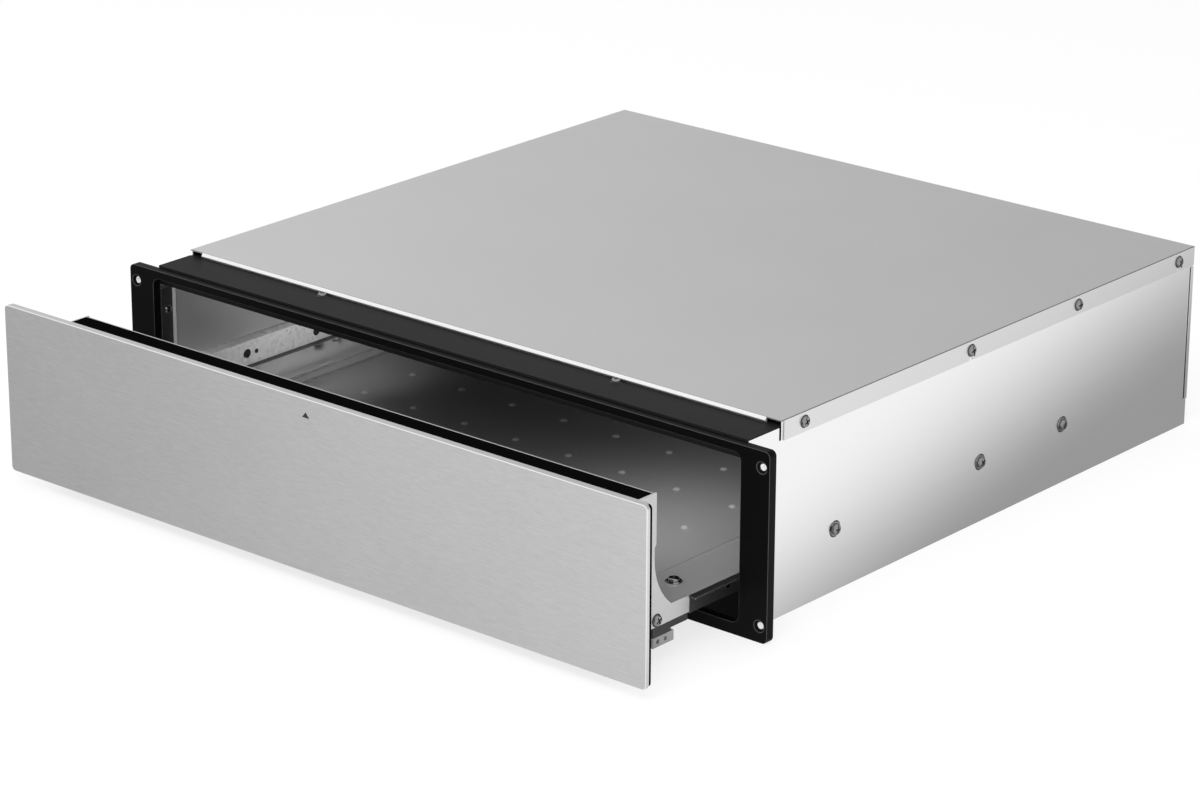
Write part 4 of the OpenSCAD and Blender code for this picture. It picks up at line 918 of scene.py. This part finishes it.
# Marks and numbers of the dial on the inner panel, from 0 at the pointer's rest to its last setting
def make_dial(centre):
    settings, step = 7, math.radians(45)
    mark_r, half_mark_r, number_r = 20.5 * MM, 20 * MM, 25.5 * MM
    mark, half_mark = (0.7 * MM, 0.1 * MM, 3 * MM), (0.4 * MM, 0.1 * MM, 2 * MM)
    face = Vector((centre.x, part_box("door_inner_panel")[1].y, centre.z))
    turns = [i * step for i in range(settings)]
    between = [(i + 0.5) * step for i in range(settings - 1)]
    bars_round("dial_marks", face, mark_r, turns, mark, "black_plastic", "drawer")
    bars_round("dial_half_marks", face, half_mark_r, between, half_mark, "black_plastic", "drawer")
    numbers = bmesh.new()
    for i, turn in enumerate(turns):
        shape = number_mesh(str(i), face + clock_way(turn) * number_r)
        numbers.from_mesh(shape)
        bpy.data.meshes.remove(shape)
    bmesh.ops.remove_doubles(numbers, verts=numbers.verts, dist=0.001 * MM)
    bmesh.ops.recalc_face_normals(numbers, faces=numbers.faces)
    add_piece("dial_numbers", to_mesh("dial_numbers", numbers), "black_plastic", "drawer")


# Wool blanket over the cavity: round borders, sides that pull in between the corners, rows of stitches
def make_blanket():
    low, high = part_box("insulation")
    half = (high - low) / 2
    middle = (high + low) / 2
    across, along = 150, 110
    border, pull, pitch = 9 * MM, 3.5 * MM, 62 * MM
    dent, dent_r, row_dent, row_r = 3.4 * MM, 9 * MM, 1.3 * MM, 6 * MM
    lump, lump_pitch = 0.5 * MM, 14 * MM

    def spread(i, count):
        share = 2 * i / count - 1
        return share * (1.5 - 0.5 * share * share)

    def off_pitch(value):
        return abs((value / pitch + 0.5) % 1 - 0.5) * pitch

    made = bmesh.new()
    top, bottom = {}, {}
    for i in range(across + 1):
        for j in range(along + 1):
            u, v = spread(i, across), spread(j, along)
            x = u * (half.x - pull * (1 - v * v) * abs(u))
            y = v * (half.y - pull * (1 - u * u) * abs(v))
            inwards_by = min(half.x * (1 - abs(u)), half.y * (1 - abs(v)))
            round_off = min(1.0, inwards_by / border)
            full = math.sqrt(1 - (1 - round_off) ** 2)
            sunk = dent * math.exp(-(math.hypot(off_pitch(x), off_pitch(y)) / dent_r) ** 2)
            sunk += row_dent * math.exp(-(off_pitch(y) / row_r) ** 2)
            lumps = lump * (1 + noise.noise(Vector((x, y, 0)) / lump_pitch))
            foot = middle.z - half.z * full
            place = Vector((middle.x + x, middle.y + y, middle.z + half.z * full - (sunk + lumps) * full))
            top[i, j] = made.verts.new(place)
            if i in (0, across) or j in (0, along):
                bottom[i, j] = top[i, j]
            else:
                bottom[i, j] = made.verts.new((place.x, place.y, foot))
    for i in range(across):
        for j in range(along):
            corners = ((i, j), (i + 1, j), (i + 1, j + 1), (i, j + 1))
            made.faces.new([top[corner] for corner in corners])
            made.faces.new([bottom[corner] for corner in reversed(corners)])
    smooth_faces(made)
    blanket = add_piece("wool_blanket", to_mesh("wool_blanket", made), "wool", "case", ["insulation"])


# Whether a ray comes from the camera, and whether metal or glass throws it
def ray_kinds(tree):
    ray = node(tree, "ShaderNodeLightPath").outputs
    mirrored = maths(tree, "MAXIMUM", ray["Is Glossy Ray"], ray["Is Transmission Ray"])
    return ray["Is Camera Ray"], mirrored


# Plain white floor, in which metal sees one pattern of light beside the case and one before it
def make_floor():
    half, drop, shadow_share = 15, 0.0002, 0.24
    corners = ((-half, -half), (half, -half), (half, half), (-half, half))
    made = bmesh.new()
    made.faces.new([made.verts.new((x, y, -drop)) for x, y in corners])
    floor = bpy.data.objects.new("floor", to_mesh("floor", made))
    bpy.context.scene.collection.objects.link(floor)
    material = bpy.data.materials.new("white_floor")
    material.use_nodes = True
    tree = material.node_tree
    tree.nodes.clear()
    from_camera, mirrored = ray_kinds(tree)
    place = split_xyz(tree, object_place(tree))
    border_x, border_slope, border_start = 0.387, 0.24, 0.0432
    level, level_by_x, level_by_y = 0.45, 0.45, -0.57
    darkest, brightest = 0.35, 1.1
    lean = maths(tree, "SUBTRACT", maths(tree, "MULTIPLY", place[1], border_slope), border_start)
    reach = maths(tree, "SUBTRACT", maths(tree, "SUBTRACT", place[0], border_x), lean)
    beside = map_range(tree, reach, -0.08, 0.09, 0.37, brightest, "SMOOTHSTEP")
    before = maths(tree, "ADD", maths(tree, "MULTIPLY", place[0], level_by_x), level)
    before = maths(tree, "ADD", before, maths(tree, "MULTIPLY", place[1], level_by_y))
    in_front = map_range(tree, place[1], -0.3, -0.4, 0, 1)
    pattern = first_of(tree, "ShaderNodeMix", (), {0: in_front, 2: beside, 3: before})
    pattern = maths(tree, "MINIMUM", maths(tree, "MAXIMUM", pattern, darkest), brightest)
    plain = first_of(tree, "ShaderNodeBsdfDiffuse", (), {"Color": (1, 1, 1, 1)})
    white = first_of(tree, "ShaderNodeEmission", (), {"Strength": 1.0})
    patterned = first_of(tree, "ShaderNodeEmission", (), {"Strength": pattern})
    shown = mix_shaders(tree, shadow_share, white, plain)
    other = mix_shaders(tree, mirrored, plain, patterned)
    node(tree, "ShaderNodeOutputMaterial", (), {"Surface": mix_shaders(tree, from_camera, other, shown)})
    floor.data.materials.append(material)


def backdrop(tree, strength):
    return first_of(tree, "ShaderNodeBackground", (), {"Color": (1, 1, 1, 1), "Strength": strength})


# Soft white surroundings, which metal sees darker towards the back
def make_world():
    world = bpy.data.worlds.new("studio")
    bpy.context.scene.world = world
    world.use_nodes = True
    tree = world.node_tree
    tree.nodes.clear()
    from_camera, mirrored = ray_kinds(tree)
    aim = split_xyz(tree, node(tree, "ShaderNodeTexCoord").outputs["Generated"])
    room = backdrop(tree, map_range(tree, aim[1], 0.45, 0.9, 1.0, 0.35))
    other = mix_shaders(tree, mirrored, backdrop(tree, 0.6), room)
    node(tree, "ShaderNodeOutputWorld", (), {
        "Surface": mix_shaders(tree, from_camera, other, backdrop(tree, 1.0))})


def lamp(name, place, aim, size, power):
    data = bpy.data.lights.new(name, "AREA")
    data.shape = "RECTANGLE"
    data.size, data.size_y = size
    data.energy = power
    light = bpy.data.objects.new(name, data)
    light.location = place
    light.rotation_euler = (Vector(aim) - Vector(place)).to_track_quat("-Z", "Y").to_euler()
    light.visible_glossy = False
    bpy.context.scene.collection.objects.link(light)
    return light


def make_lamps():
    lamp("key", (0.9, -1.6, 2.2), (0, 0, 0.05), (1.6, 1.2), 22)
    lamp("fill", (-1.8, -1.2, 1.4), (0, -0.1, 0.05), (1.4, 1.4), 12)
    lamp("overhead", (-0.2, 0.4, 2.4), (0, 0, 0), (2.0, 2.0), 16)
    lamp("low", (1.2, -2.0, 0.42), (-0.1, -0.15, 0.08), (0.8, 0.5), 22)
    inside_right = lamp("inside_right", (0.16, -0.2, 0.119), (0.16, -0.2, 0.0), (0.12, 0.12), 0.1)
    inside_left = lamp("inside_left", (-0.12, -0.17, 0.118), (-0.27, -0.12, 0.062), (0.1, 0.05), 0.045)
    for inside, spread in ((inside_right, 180), (inside_left, 84)):
        inside.data.spread = math.radians(spread)
        inside.visible_camera = False


make_camera()
make_cover()
make_front()
make_hole_walls()
for edge_width, names in EDGE_WIDTHS.items():
    for node_name in names:
        edged(node_name, edge_width)
make_screws()
make_rollers()
make_recess_edges()
make_punched_holes()
make_dial(make_knob())
make_blanket()
for node_name, shown in frame["nodes"].items():
    shown.data.materials.clear()
    shown.data.materials.append(FINISH[SLOT_OF[node_name]])
make_floor()
make_world()
make_lamps()

bpy.context.scene.view_settings.view_transform = "Standard"
